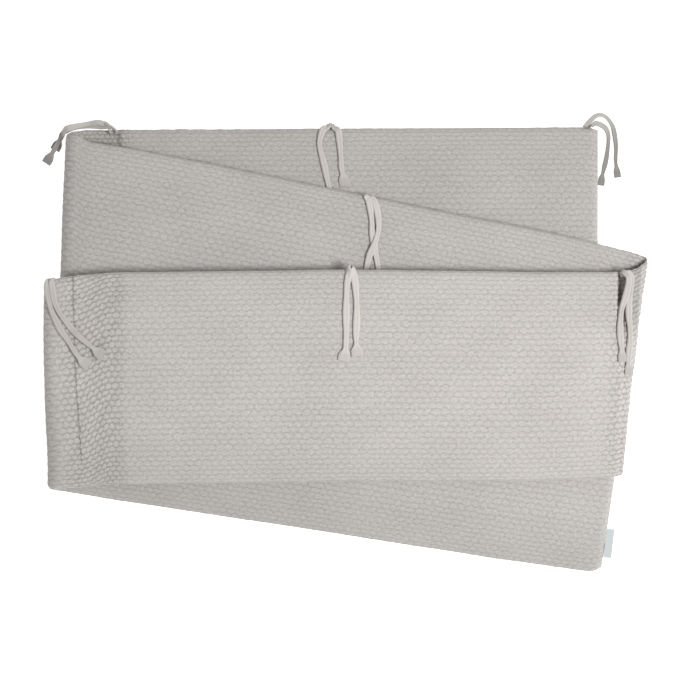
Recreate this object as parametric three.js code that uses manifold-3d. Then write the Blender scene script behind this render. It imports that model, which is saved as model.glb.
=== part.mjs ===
// A playpen bumper: one long padded strip of knitted jersey with four foam panels.
// It is folded back and forth and lies flat, with its tie tapes spread over it.
// Millimetres, +Z up. The origin is on the floor under the middle of the folded pile.

import * as THREE from 'three';
import { mergeVertices } from 'three/addons/utils/BufferGeometryUtils.js';
import Module from 'manifold-3d';

// The strip's height when it stands in the playpen, which is its width here.
const stripHeight = 304;

// Thickness of the padding, and how the layers lie on each other.
const foamThickness = 18;
const hingeThickness = 5;
const foldThickness = 15.6;
const layerPitch = 21;
const bridges = { floor: 150, second: 150, third: 200, top: 260 };
const squeezeLength = 34;
const hingeSag = 4;

// Rounding of the edges and of the corners in plan.
const edgeRadius = 10;
const endMargin = 0.4;

// Tie tapes: their usual width and thickness, their narrow start at the seam, their flared free end,
// and the gaps that part them from the strip.
const tapeWidth = 10;
const tapeThickness = 2;
const tapeClearance = 0.45;
const flareWidth = 17;
const flareLength = 20;
const pinchWidth = 4;
const pinchLength = 16;
const seamGap = 0.45;

// The first points of a strand: how far beside the seam, past the edge and up over it they are.
// A point with no past of its own stands as far out as its tie's loop.
const leadPoints = [
  { beside: 0, past: seamGap, up: 0 },
  { beside: 0.3, past: 2.25, up: 0.3 },
  { beside: 2, past: null, up: 4.5 },
  { beside: 3.4, past: null, up: 9.9 },
];

// The woven tab in the free end of the last panel.
const label = { along: 43, out: 13, thickness: 1.2, droop: 5, steps: 5, fromLow: 0.08, gap: 0.3 };

// How finely the strip is stepped along, across and round its folds.
const stepAlong = 58;
const stepsAcross = 10;
const stepsRoundFold = 7;
const edgeSteps = [0, 0.12, 0.45, 1];

// The pile's middle, in the plan measures that the tables below use.
const pileMiddle = { x: -0.3, y: -2.2 };

// Lines across the strip, one row each: its mark and where it meets the top and the low edge.
// The strip goes through the four runs in this order. A run ends in a fold, and the next starts there.
const runs = [
  {
    name: 'floor',
    faceUp: 1,
    cornerRadius: 5,
    lines: [
      { mark: 'end', top: [383, 316], low: [383, 13] },
      { mark: 'foam ends', top: [-329, 312], low: [-315, 12] },
      { mark: 'foam starts', top: [-380, 312], low: [-389, 8] },
      { mark: 'fold', top: [-404, 311], low: [-417, 6] },
    ],
  },
  {
    name: 'second',
    faceUp: -1,
    lines: [
      { mark: 'fold', top: [-404.5, 303], low: [-417, 2] },
      { mark: 'plain', top: [-377, 292], low: [-389, -8] },
      { mark: 'plain', top: [-307, 281], low: [-336, -19] },
      { mark: 'plain', top: [-162, 253], low: [-221, -46] },
      { mark: 'plain', top: [173, 184.5], low: [111, -114] },
      { mark: 'plain', top: [308, 158.5], low: [254, -146] },
      { mark: 'foam ends', top: [441, 126], low: [395, -185] },
      { mark: 'hinge', top: [462, 121], low: [406, -188] },
    ],
  },
  {
    name: 'top',
    faceUp: 1,
    lines: [
      { mark: 'hinge', top: [427, 99], low: [416.5, -197] },
      { mark: 'foam starts', top: [412, 98], low: [404, -199] },
      { mark: 'plain', top: [264, 98.5], low: [265, -205] },
      { mark: 'plain', top: [10, 101.5], low: [10, -206] },
      { mark: 'foam ends', top: [-327, 97], low: [-334, -211] },
      { mark: 'foam starts', top: [-382, 92.5], low: [-378, -215.5] },
      { mark: 'fold', top: [-426, 88], low: [-431, -218] },
    ],
  },
  {
    name: 'third',
    faceUp: -1,
    cornerRadius: 10,
    lines: [
      { mark: 'fold', top: [-427, 84], low: [-431, -224] },
      { mark: 'plain', top: [-295, 65.5], low: [-344, -236] },
      { mark: 'plain', top: [-9, 23], low: [-53, -280] },
      { mark: 'plain', top: [275, -19], low: [236, -325] },
      { mark: 'end', top: [422, -41], low: [386.5, -346] },
    ],
  },
];

// Which runs lie under each run, and how far each fold reaches out past its layers.
const under = { floor: [], second: ['floor'], third: ['floor', 'second'], top: ['floor', 'second', 'third'] };
const folds = [
  { from: 'floor', to: 'second', side: -1, reachTop: 40, reachLow: 40, thickness: foldThickness, faceOut: -1 },
  { from: 'second', to: 'top', side: 1, reachTop: 12, reachLow: 9, thickness: hingeThickness, faceOut: 1 },
  { from: 'top', to: 'third', side: -1, reachTop: 40, reachLow: 40, thickness: foldThickness, faceOut: 1 },
];

const mix = (a, b, t) => a + (b - a) * t;
const clamp = (value) => Math.min(Math.max(value, 0), 1);
const smooth = (value) => clamp(value) ** 2 * (3 - 2 * clamp(value));
const rounded = (value) => Math.sqrt(1 - (1 - clamp(value)) ** 2);

// Distance in plan from a point to a four-sided outline, 0 inside it.
function distanceOutside(outline, x, y) {
  let nearest = Infinity;
  let inside = true;
  outline.forEach(([ax, ay], i) => {
    const [bx, by] = outline[(i + 1) % outline.length];
    const along = clamp(((x - ax) * (bx - ax) + (y - ay) * (by - ay)) / ((bx - ax) ** 2 + (by - ay) ** 2));
    nearest = Math.min(nearest, Math.hypot(x - mix(ax, bx, along), y - mix(ay, by, along)));
    if ((bx - ax) * (y - ay) - (by - ay) * (x - ax) > 0) inside = false;
  });
  return inside ? 0 : nearest;
}

// A run's outline in plan, clockwise from above.
function outlineOf(run) {
  const ends = [run.lines[0], run.lines[run.lines.length - 1]];
  const [left, right] = ends[0].top[0] < ends[1].top[0] ? ends : ends.reverse();
  return [left.top, right.top, right.low, left.low];
}

const outlines = Object.fromEntries(runs.map((run) => [run.name, outlineOf(run)]));

// Height of a run's middle over the floor: it lies on what is under it,
// and comes down by one layer over the bridging distance past each edge there.
function restHeight(name, x, y) {
  const layersBelow = under[name].reduce(
    (sum, other) => sum + 1 - smooth(distanceOutside(outlines[other], x, y) / bridges[name]),
    0,
  );
  return foamThickness / 2 + layerPitch * layersBelow;
}

// A point on a line across the strip, at a share of the way from the low edge to the top edge.
function onLine(line, share) {
  return [mix(line.low[0], line.top[0], share), mix(line.low[1], line.top[1], share)];
}

// A fold's direction outwards in plan, square to the line that a run ends in.
function outwards(fold, line) {
  const dx = line.top[0] - line.low[0];
  const dy = line.top[1] - line.low[1];
  const length = Math.hypot(dx, dy);
  return [fold.side * dy / length, -fold.side * dx / length];
}

// The place where a run starts to turn into its fold, and the fold's reach outwards from there.
function turnPlace(fold, line, share) {
  const [x, y] = onLine(line, share);
  const [nx, ny] = outwards(fold, line);
  const rise = Math.abs(restHeight(fold.to, x, y) - restHeight(fold.from, x, y)) / 2;
  const reach = Math.min(rise, mix(fold.reachLow, fold.reachTop, share));
  const back = reach + fold.thickness / 2;
  return { x: x - nx * back, y: y - ny * back, nx, ny, reach };
}

// Plan place of a line: a line that a run folds at stands for the place where the turn starts.
function placeOn(run, line, share) {
  if (line.mark !== 'fold' && line.mark !== 'hinge') return onLine(line, share);
  const opens = run.lines[0] === line;
  const fold = folds.find((candidate) => (opens ? candidate.to : candidate.from) === run.name);
  const place = turnPlace(fold, line, share);
  return [place.x, place.y];
}

// Distance along the middle of a run at each of its lines.
function lineDistances(run) {
  const distances = [0];
  run.lines.slice(1).forEach((line, i) => {
    const [ax, ay] = placeOn(run, run.lines[i], 0.5);
    const [bx, by] = placeOn(run, line, 0.5);
    distances.push(distances[i] + Math.hypot(bx - ax, by - ay));
  });
  return distances;
}

// Where foam lies in a run, as distances along it. Foam that goes on round a fold has no end there.
function foamSpans(run, distances) {
  const at = (mark) => distances.filter((distance, i) => run.lines[i].mark === mark);
  const starts = at('foam starts');
  const ends = at('foam ends');
  if (starts.length === 0 || (ends.length > 0 && ends[0] < starts[0])) starts.unshift(-Infinity);
  if (ends.length < starts.length) ends.push(Infinity);
  return starts.map((start, i) => ({ start, end: ends[i] }));
}

// Half the thickness at a distance along the run. Foam ends and free ends are rounded,
// and foam is squeezed where it goes round a fold.
function halfThickness(run, distances, along) {
  const span = foamSpans(run, distances).find(({ start, end }) => along >= start && along <= end);
  if (!span) return hingeThickness / 2;
  const awayFrom = (mark) => Math.min(
    ...distances.map((distance, i) => (run.lines[i].mark === mark ? Math.abs(along - distance) : Infinity)),
  );
  const foam = mix(foldThickness, foamThickness, smooth(awayFrom('fold') / squeezeLength));
  const intoFoam = Math.min(along - span.start, span.end - along);
  const thickness = mix(hingeThickness, foam, rounded(intoFoam / edgeRadius));
  return thickness / 2 * rounded(awayFrom('end') / edgeRadius);
}

// The loose cloth between two foam panels sags a little.
function sagAt(run, distances, along) {
  const from = run.lines.findIndex((line) => line.mark === 'foam ends');
  const to = run.lines.findIndex((line, i) => line.mark === 'foam starts' && i > from);
  if (from < 0 || to < 0) return 0;
  const share = clamp((along - distances[from]) / (distances[to] - distances[from]));
  return hingeSag * Math.sin(Math.PI * share) ** 2;
}

// Distances along a run at which the strip is stepped.
function stationsOf(run, distances) {
  const total = distances[distances.length - 1];
  const stations = [];
  distances.slice(1).forEach((end, i) => {
    const start = distances[i];
    const count = Math.max(1, Math.round((end - start) / stepAlong));
    for (let k = 0; k < count; k += 1) stations.push(mix(start, end, k / count));
  });
  stations.push(total);
  run.lines.forEach((line, i) => {
    const inwards = line.mark === 'foam ends' || (line.mark === 'end' && i > 0) ? -1 : 1;
    if (line.mark !== 'end' && !line.mark.startsWith('foam')) return;
    edgeSteps.slice(1).forEach((step) => stations.push(distances[i] + inwards * step * edgeRadius));
  });
  const sorted = stations
    .map((along) => Math.min(Math.max(along, run.lines[0].mark === 'end' ? endMargin : 0),
      total - (run.lines[run.lines.length - 1].mark === 'end' ? endMargin : 0)))
    .sort((a, b) => a - b);
  return sorted.filter((along, i) => i === 0 || along - sorted[i - 1] > endMargin);
}

// Shares across the strip: close together at the rounded edges and even between them.
function sharesAcross(height) {
  const rim = edgeSteps.map((step) => step * edgeRadius / height);
  const inner = [];
  for (let k = 1; k < stepsAcross; k += 1) {
    inner.push(mix(rim[rim.length - 1], 1 - rim[rim.length - 1], k / stepsAcross));
  }
  return [...rim, ...inner, ...rim.map((share) => 1 - share).reverse()];
}

const shares = sharesAcross(stripHeight);

// One ring round the strip: the first face from the low edge to the top edge, then back on the other.
function ringFrom(pointAt, half, inset) {
  const forward = [];
  const backward = [];
  shares.forEach((share, i) => {
    const { middle, face } = pointAt(mix(inset, 1 - inset, share));
    const fromEdge = Math.min(share, 1 - share) * stripHeight;
    const offset = half * rounded(fromEdge / edgeRadius);
    forward.push(middle.clone().addScaledVector(face, offset));
    if (i > 0 && i < shares.length - 1) backward.unshift(middle.clone().addScaledVector(face, -offset));
  });
  return [...forward, ...backward];
}

// The rings of one run, and the inset that rounds the corners of a free end.
function runRings(run) {
  const distances = lineDistances(run);
  const total = distances[distances.length - 1];
  return stationsOf(run, distances).map((along) => {
    const i = Math.min(distances.filter((distance) => distance <= along).length, distances.length - 1);
    const share = (along - distances[i - 1]) / (distances[i] - distances[i - 1]);
    const toStart = run.lines[0].mark === 'end' ? along : Infinity;
    const toEnd = run.lines[run.lines.length - 1].mark === 'end' ? total - along : Infinity;
    const corner = run.cornerRadius ?? 1;
    const inset = corner * (1 - rounded(Math.min(toStart, toEnd) / corner)) / stripHeight;
    const sag = sagAt(run, distances, along);
    const pointAt = (across) => {
      const [ax, ay] = placeOn(run, run.lines[i - 1], across);
      const [bx, by] = placeOn(run, run.lines[i], across);
      const x = mix(ax, bx, share);
      const y = mix(ay, by, share);
      const middle = new THREE.Vector3(x, y, restHeight(run.name, x, y) - sag);
      return { middle, face: new THREE.Vector3(0, 0, run.faceUp) };
    };
    return ringFrom(pointAt, halfThickness(run, distances, along), inset);
  });
}

// The middle of the strip on its way round a fold, and the direction square to it.
function foldPoint(fold, angle, across) {
  const a = turnPlace(fold, runs.find((run) => run.name === fold.from).lines.at(-1), across);
  const b = turnPlace(fold, runs.find((run) => run.name === fold.to).lines[0], across);
  const start = restHeight(fold.from, a.x, a.y);
  const rise = restHeight(fold.to, b.x, b.y) - start;
  const turned = (1 - Math.cos(angle)) / 2;
  const reach = mix(a.reach, b.reach, turned);
  const nx = mix(a.nx, b.nx, turned);
  const ny = mix(a.ny, b.ny, turned);
  const middle = new THREE.Vector3(
    mix(a.x, b.x, turned) + nx * reach * Math.sin(angle),
    mix(a.y, b.y, turned) + ny * reach * Math.sin(angle),
    start + rise * turned,
  );
  const shift = ((b.x - a.x) * nx + (b.y - a.y) * ny) / 2;
  const forwards = shift * Math.sin(angle) + reach * Math.cos(angle);
  const upwards = rise / 2 * Math.sin(angle);
  const face = new THREE.Vector3(nx * upwards, ny * upwards, -forwards).normalize();
  return { middle, face: face.multiplyScalar(fold.faceOut * Math.sign(rise)) };
}

function foldRings(fold) {
  const rings = [];
  for (let k = 1; k < stepsRoundFold; k += 1) {
    const angle = Math.PI * k / stepsRoundFold;
    rings.push(ringFrom((across) => foldPoint(fold, angle, across), fold.thickness / 2, 0));
  }
  return rings;
}

// The top edge of the strip at a seam, at a given x in a run or at an angle round a fold,
// with the directions along the edge and out from it in plan.
function topEdgeAt(seam) {
  if (seam.fold) {
    const fold = folds.find((candidate) => candidate.from === seam.fold);
    return { place: foldPoint(fold, seam.angle, 1).middle, along: [1, 0], out: [0, 1] };
  }
  const run = runs.find((candidate) => candidate.name === seam.run);
  const places = run.lines.map((line) => placeOn(run, line, 1)).sort((a, b) => a[0] - b[0]);
  const i = places.findIndex(([x]) => x > seam.x);
  const [ax, ay] = places[i - 1];
  const [bx, by] = places[i];
  const length = Math.hypot(bx - ax, by - ay);
  const y = mix(ay, by, (seam.x - ax) / (bx - ax));
  return {
    place: new THREE.Vector3(seam.x, y, restHeight(seam.run, seam.x, y)),
    along: [(bx - ax) / length, (by - ay) / length],
    out: [-(by - ay) / length, (bx - ax) / length],
  };
}

// A closed geometry through rings of equal length, with both ends capped across.
function closedThrough(rings, capPairs) {
  const size = rings[0].length;
  const positions = rings.flat().flatMap((point) => [point.x, point.y, point.z]);
  const faces = [];
  for (let r = 0; r < rings.length - 1; r += 1) {
    for (let k = 0; k < size; k += 1) {
      const a = r * size + k;
      const b = r * size + (k + 1) % size;
      faces.push(a, b, a + size, b, b + size, a + size);
    }
  }
  const last = (rings.length - 1) * size;
  capPairs(size).forEach(([a, b, c]) => {
    faces.push(a, c, b);
    faces.push(last + a, last + b, last + c);
  });
  const geometry = new THREE.BufferGeometry();
  geometry.setAttribute('position', new THREE.Float32BufferAttribute(positions, 3));
  geometry.setIndex(faces);
  if (signedVolume(geometry) < 0) geometry.setIndex(flipped(faces));
  return geometry;
}

function flipped(faces) {
  const turned = [];
  for (let i = 0; i < faces.length; i += 3) turned.push(faces[i], faces[i + 2], faces[i + 1]);
  return turned;
}

function signedVolume(geometry) {
  const position = geometry.getAttribute('position');
  const index = geometry.getIndex();
  const corner = [new THREE.Vector3(), new THREE.Vector3(), new THREE.Vector3()];
  let volume = 0;
  for (let i = 0; i < index.count; i += 3) {
    corner.forEach((point, k) => point.fromBufferAttribute(position, index.getX(i + k)));
    volume += corner[0].dot(corner[1].clone().cross(corner[2])) / 6;
  }
  return volume;
}

// A cap over a ring that goes out along one side and back along the other.
function foldedCap(size) {
  const half = size / 2;
  const triangles = [];
  for (let k = 0; k < half; k += 1) {
    const across = (size - k) % size;
    const next = size - k - 1;
    if (k > 0) triangles.push([k, k + 1, across]);
    if (k < half - 1) triangles.push([k + 1, next, across]);
  }
  return triangles;
}

function padGeometry() {
  const rings = [];
  runs.forEach((run, i) => {
    rings.push(...runRings(run));
    if (i < folds.length) rings.push(...foldRings(folds[i]));
  });
  return closedThrough(rings, foldedCap);
}

const pad = new THREE.Mesh(padGeometry(), new THREE.MeshStandardMaterial({ color: 0xb9b1a8, roughness: 0.95 }));
pad.name = 'padded_strip';

// Each tie is a flat jersey tape, sewn into the top edge at its middle, with two free strands.
// A tie's row has its seam on the top edge, the side of the seam that each strand starts to,
// how far its loop stands out past the edge, the ceiling below which its ground is looked for,
// and its strands. A strand's columns are x, y and lift, the clear height over that ground.
const ties = [
  {
    name: 'tie_floor_left',
    seam: { run: 'floor', x: -335 },
    sides: [-1, 1],
    loop: 3,
    ceiling: 60,
    strands: [
      [[-345, 320, 20], [-359, 323.5, 22], [-374, 321.5, 21], [-389, 317, 17], [-404, 312, 11], [-415, 305, 6],
        [-421, 291, 4], [-428, 278, 3.4], [-438, 263, 1]],
      [[-340, 317, 15], [-356, 318.5, 10], [-378, 318.5, 6], [-398, 316, 3], [-413, 308, 1], [-419, 295, 0.6],
        [-425, 283, 0.6]],
    ],
  },
  {
    name: 'tie_floor_middle',
    seam: { run: 'floor', x: -13 },
    sides: [-1, 1],
    loop: 5.5,
    ceiling: 20.4,
    strands: [
      [[-25, 310, 1.5], [-30, 294, 0.5], [-29, 281, 0.5], [-24, 262, 0.5], [-19, 238, 0.5], [-16, 224, 0.4],
        [-13, 210, 0.4], [-10, 196, 0.4]],
      [[-3, 309, 1.5], [-1, 297, 0.5], [1, 274, 0.5], [2, 255, 0.5], [5, 241, 0.5], [8, 228, 0.5]],
    ],
  },
  {
    name: 'tie_floor_right',
    seam: { run: 'floor', x: 368 },
    sides: [-1, 1],
    loop: 4,
    ceiling: 25,
    strands: [
      [[374, 328, 20], [382, 332, 20], [390, 331, 18], [397, 326, 15], [404, 317, 11], [408, 305, 7],
        [411, 288, 2.5], [411, 267, 0.6], [412.5, 255, 0.5], [414, 242, 0.5]],
      [[377, 320, 18], [385, 318, 17], [393, 313, 14], [398, 304, 9], [399, 290, 4], [397, 271, 1.4],
        [393.5, 255, 0.6], [390.5, 242, 0.5], [389, 230, 0.5]],
    ],
  },
  {
    name: 'tie_second_middle',
    seam: { run: 'second', x: 45.5 },
    sides: [-1, 1],
    loop: 1,
    ceiling: 50,
    strands: [
      [[42, 203, 0.6], [46, 177, 0.5], [47, 156, 0.5], [50, 139, 0.5], [53, 120, 0.5], [56, 104, 0.5],
        [60, 86, 0.5], [63, 70, 0.5]],
      [[50, 203, 0.6], [55, 184, 0.5], [56, 161, 1.5], [50, 139, 3], [43, 123, 1.5], [38, 102, 0.5],
        [35, 86, 0.5], [33, 70, 0.5]],
    ],
  },
  {
    name: 'tie_top_middle',
    seam: { run: 'top', x: 16.5 },
    sides: [-1, 1],
    loop: 3.5,
    ceiling: 120,
    strands: [
      [[13, 96, 0.6], [10, 78, 0.5], [9, 45, 0.5], [9, 12, 0.5], [8, -12, 0.5], [5, -30, 0.5]],
      [[20, 96, 0.6], [23, 68, 0.5], [24, 35, 0.5], [23, 1, 0.5], [25, -23, 0.5]],
    ],
  },
  {
    name: 'tie_top_left',
    seam: { fold: 'top', angle: 0.5 },
    sides: [-1, 1],
    loop: 2.5,
    ceiling: 120,
    strands: [
      [[-417, 82, 1.5], [-418, 72, 1.2], [-416, 58, 0.6], [-412, 43, 0.5], [-406, 29, 0.5], [-398, 13, 0.5],
        [-389, 0, 0.5], [-374, -23, 3], [-360, -37, 0.5]],
      [[-411, 84, 1.5], [-410, 70, 1], [-407, 54, 0.5], [-401, 40, 0.5], [-393, 29, 0.5], [-383, 16, 0.8],
        [-372, 5, 3.5], [-353, -11, 5], [-338, -23, 3]],
    ],
  },
  {
    name: 'tie_top_right',
    seam: { run: 'top', x: 408 },
    sides: [-0.3, 1.2],
    loop: 3,
    ceiling: 120,
    strands: [
      [[409, 101, 4], [415.5, 95, 5], [417, 84, 5], [414.5, 70, 4.5], [410.5, 58, 3.5], [406.8, 46, 2.5],
        [404.2, 34.6, 1.5], [402.8, 22, 0.8], [402.7, 8.6, 0.6], [403.5, -7, 0.5], [405, -20, 0.5],
        [405.6, -31, 0.5]],
      [[415, 102, 2], [421.5, 94, 1.5], [422, 82, 1], [420, 69, 0.8], [417.6, 55, 0.6], [417.1, 35, 0.6],
        [418.2, 16, 0.5], [418.4, 0, 0.5], [417, -15, 0.5], [415.9, -28, 0.5], [416.4, -42, 0.5],
        [416.4, -50, 0.5]],
    ],
  },
];

pad.updateMatrixWorld(true);
pad.material.side = THREE.DoubleSide;
const ray = new THREE.Raycaster();

// Height of the pad, or of the floor beside it, at a place and below a ceiling.
function groundAt(x, y, ceiling) {
  ray.set(new THREE.Vector3(x, y, ceiling), new THREE.Vector3(0, 0, -1));
  const [hit] = ray.intersectObject(pad);
  return hit ? hit.point.z : 0;
}

// The highest ground under a tape of a given width round a place.
function groundUnder(x, y, width, ceiling) {
  const around = [[0, 0], [1, 0], [-1, 0], [0, 1], [0, -1], [0.7, 0.7], [-0.7, -0.7], [0.7, -0.7], [-0.7, 0.7]];
  return Math.max(...around.map(([dx, dy]) => groundAt(x + dx * width / 2, y + dy * width / 2, ceiling)));
}

// The points of one strand, from the seam over its loop and along its rows.
function strandPath(tie, rows, side) {
  const { place, along, out } = topEdgeAt(tie.seam);
  const half = tapeThickness / 2;
  const lead = leadPoints.map((point) => {
    const beside = side * point.beside;
    const past = point.past ?? tie.loop;
    return new THREE.Vector3(
      place.x + along[0] * beside + out[0] * past,
      place.y + along[1] * beside + out[1] * past,
      place.z + point.up,
    );
  });
  const lying = rows.map(([x, y, lift]) => (
    new THREE.Vector3(x, y, groundUnder(x, y, tapeWidth, tie.ceiling) + half + Math.max(lift, tapeClearance))
  ));
  const curve = new THREE.CatmullRomCurve3([...lead, ...lying], false, 'centripetal');
  const steps = (lead.length + rows.length - 1) * 2;
  const path = [];
  for (let k = 0; k <= steps; k += 1) {
    const point = curve.getPoint(k / steps);
    let width = pinchWidth;
    if (k > (lead.length - 1) * 2) width = tapeWidth;
    if (k > steps - 3) width = flareWidth;
    const lowest = groundUnder(point.x, point.y, width, tie.ceiling) + half + tapeClearance;
    if (k > 2) point.z = Math.max(point.z, lowest);
    path.push(point);
  }
  return path;
}

// The section of a tape, flat with blunt rims, as shares of half its width and half its thickness.
const tapeSection = [[1, 0], [0.8, 1], [-0.8, 1], [-1, 0], [-0.8, -1], [0.8, -1]];

function fanCap(size) {
  return Array.from({ length: size - 2 }, (_, k) => [0, k + 1, k + 2]);
}

// One strand: a narrow tape along its path, pinched at the seam and flared at its free end.
// Its width leans back to level by a set share at each step.
const levelling = 0.4;

function strandGeometry(path) {
  const gone = [0];
  path.slice(1).forEach((point, i) => gone.push(gone[i] + point.distanceTo(path[i])));
  const total = gone.at(-1);
  const across = path[1].clone().sub(path[0]).cross(new THREE.Vector3(0, 0, 1)).normalize();
  const rings = path.map((point, i) => {
    const tangent = path[Math.min(i + 1, path.length - 1)].clone().sub(path[Math.max(i - 1, 0)]).normalize();
    if (i > 0) across.z *= levelling;
    across.addScaledVector(tangent, -across.dot(tangent)).normalize();
    const normal = tangent.clone().cross(across);
    const flare = smooth(1 - (total - gone[i]) / flareLength);
    const width = mix(mix(pinchWidth, tapeWidth, smooth(gone[i] / pinchLength)), flareWidth, flare) / 2;
    return tapeSection.map(([u, v]) => point.clone()
      .addScaledVector(across, u * width)
      .addScaledVector(normal, v * tapeThickness / 2));
  });
  return closedThrough(rings, fanCap);
}

const wasm = await Module();
wasm.setup();

function solidFrom(geometry) {
  const merged = mergeVertices(geometry, 1e-4);
  return new wasm.Manifold(new wasm.Mesh({
    numProp: 3,
    vertProperties: Float32Array.from(merged.getAttribute('position').array),
    triVerts: Uint32Array.from(merged.getIndex().array),
  }));
}

function geometryFrom(solid) {
  const mesh = solid.getMesh();
  const geometry = new THREE.BufferGeometry();
  geometry.setAttribute('position', new THREE.BufferAttribute(Float32Array.from(mesh.vertProperties), 3));
  geometry.setIndex(Array.from(mesh.triVerts));
  return geometry;
}

// A whole tie: its two strands, joined where the tape is caught in the seam.
function tieMesh(tie) {
  const paths = tie.strands.map((rows, i) => strandPath(tie, rows, tie.sides[i]));
  const [first, second] = paths.map((path) => solidFrom(strandGeometry(path)));
  const mesh = new THREE.Mesh(
    geometryFrom(first.add(second)),
    new THREE.MeshStandardMaterial({ color: 0xbdb4aa, roughness: 0.95 }),
  );
  mesh.name = tie.name;
  return mesh;
}

// The woven tab, sewn into the seam of the last panel's free end near its low edge.
function labelMesh() {
  const run = runs.at(-1);
  const line = run.lines.at(-1);
  const dx = line.top[0] - line.low[0];
  const dy = line.top[1] - line.low[1];
  const length = Math.hypot(dx, dy);
  const [ux, uy] = [dx / length, dy / length];
  const [nx, ny] = [uy, -ux];
  const [x, y] = onLine(line, label.fromLow);
  const outline = new THREE.Shape();
  const upper = [];
  const lower = [];
  for (let k = 0; k <= label.steps; k += 1) {
    const out = label.gap - endMargin + label.out * k / label.steps;
    const down = -label.droop * (k / label.steps) ** 2;
    upper.push(new THREE.Vector2(out, down + label.thickness / 2));
    lower.unshift(new THREE.Vector2(out, down - label.thickness / 2));
  }
  outline.setFromPoints([...upper, ...lower]);
  const geometry = new THREE.ExtrudeGeometry(outline, { depth: label.along, bevelEnabled: false });
  geometry.applyMatrix4(new THREE.Matrix4().makeBasis(
    new THREE.Vector3(nx, ny, 0),
    new THREE.Vector3(0, 0, 1),
    new THREE.Vector3(ny, -nx, 0),
  ));
  const mesh = new THREE.Mesh(geometry, new THREE.MeshStandardMaterial({ color: 0xf0eeea, roughness: 0.6 }));
  const height = restHeight(run.name, x + ux * label.along / 2, y + uy * label.along / 2);
  mesh.position.set(x + ux * label.along, y + uy * label.along, height);
  mesh.name = 'label_tab';
  return mesh;
}

const bumper = new THREE.Group();
bumper.add(pad, ...ties.map(tieMesh), labelMesh());
bumper.position.set(-pileMiddle.x, -pileMiddle.y, 0);

export default bumper;
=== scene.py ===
# %% [markdown]
# # A playpen bumper, folded on the floor
# The real thing is a strip of padding about 3.4 m long and 30 cm high. It has four foam panels in
# one sewn cover of knitted jersey, and hinges of bare cloth between them. Here it is folded back and
# forth and lies flat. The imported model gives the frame: its solids, their places and their size.

import math

import bpy
import numpy as np
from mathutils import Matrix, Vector
from mathutils.bvhtree import BVHTree


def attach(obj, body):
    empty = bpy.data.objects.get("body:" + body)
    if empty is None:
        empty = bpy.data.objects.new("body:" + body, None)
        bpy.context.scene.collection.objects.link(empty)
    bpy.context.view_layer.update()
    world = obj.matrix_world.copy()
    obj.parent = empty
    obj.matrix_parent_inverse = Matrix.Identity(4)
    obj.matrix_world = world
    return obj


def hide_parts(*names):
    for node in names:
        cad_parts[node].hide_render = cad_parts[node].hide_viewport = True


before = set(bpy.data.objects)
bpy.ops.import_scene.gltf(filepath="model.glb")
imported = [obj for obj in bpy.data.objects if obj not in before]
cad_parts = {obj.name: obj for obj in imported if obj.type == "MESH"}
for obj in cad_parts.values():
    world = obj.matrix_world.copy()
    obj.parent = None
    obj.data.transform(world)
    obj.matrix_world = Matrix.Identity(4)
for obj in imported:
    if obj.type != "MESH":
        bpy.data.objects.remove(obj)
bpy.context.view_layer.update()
scene = bpy.context.scene

# %% [markdown]
# ## Camera
# The strip is seen from straight above, from as high as a person on a low step holds a camera.
# The camera comes first, because everything else is judged through it.

# %% Camera
CAMERA_PLACE = (0.0003, 0.0022, 1.9)
FOCAL_PIXELS = 1273.4
IMAGE_PIXELS = 680
SENSOR = 36.0

bpy.ops.object.select_all(action="DESELECT")
bpy.ops.object.camera_add(location=CAMERA_PLACE, rotation=(0, 0, 0))
camera = bpy.context.active_object
camera.data.sensor_width = SENSOR
camera.data.lens = SENSOR * FOCAL_PIXELS / IMAGE_PIXELS
scene.camera = camera
print("lens:", round(camera.data.lens, 1), "mm")

# %% [markdown]
# ## Where the strip lies
# Each run is one panel with its hinges. Its lines cross the strip, and each says where it meets the
# top edge and the low edge, seen from above. The strip goes through the runs in this order. These are
# the same lines as in the solids, so the cloth lies where they are.
#
# The foam is 18 mm thick and an empty hinge 5 mm. Only the hinge on the left of the top panel stays
# puffed up, because the fold beside it holds it open. Each layer lies 21 mm above the one below.

# %% Thicknesses and reaches, in metres
# The foam is squeezed near a fold, a puffed hinge swells over its reach, and an empty one sags. FAR is
# farther off than any place on the strip.
FOAM = 0.018
HINGE = 0.005
PUFFED_HINGE = 0.0135
FOLD = 0.0156
LAYER_PITCH = 0.021
STRIP_HEIGHT = 0.304
EDGE_RADIUS = 0.010
SQUEEZE = 0.034
PUFFED_REACH = 0.024
SAG = 0.004
FAR = 9.0
print("foam:", FOAM, "m thick, strip:", STRIP_HEIGHT, "m high")

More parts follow.
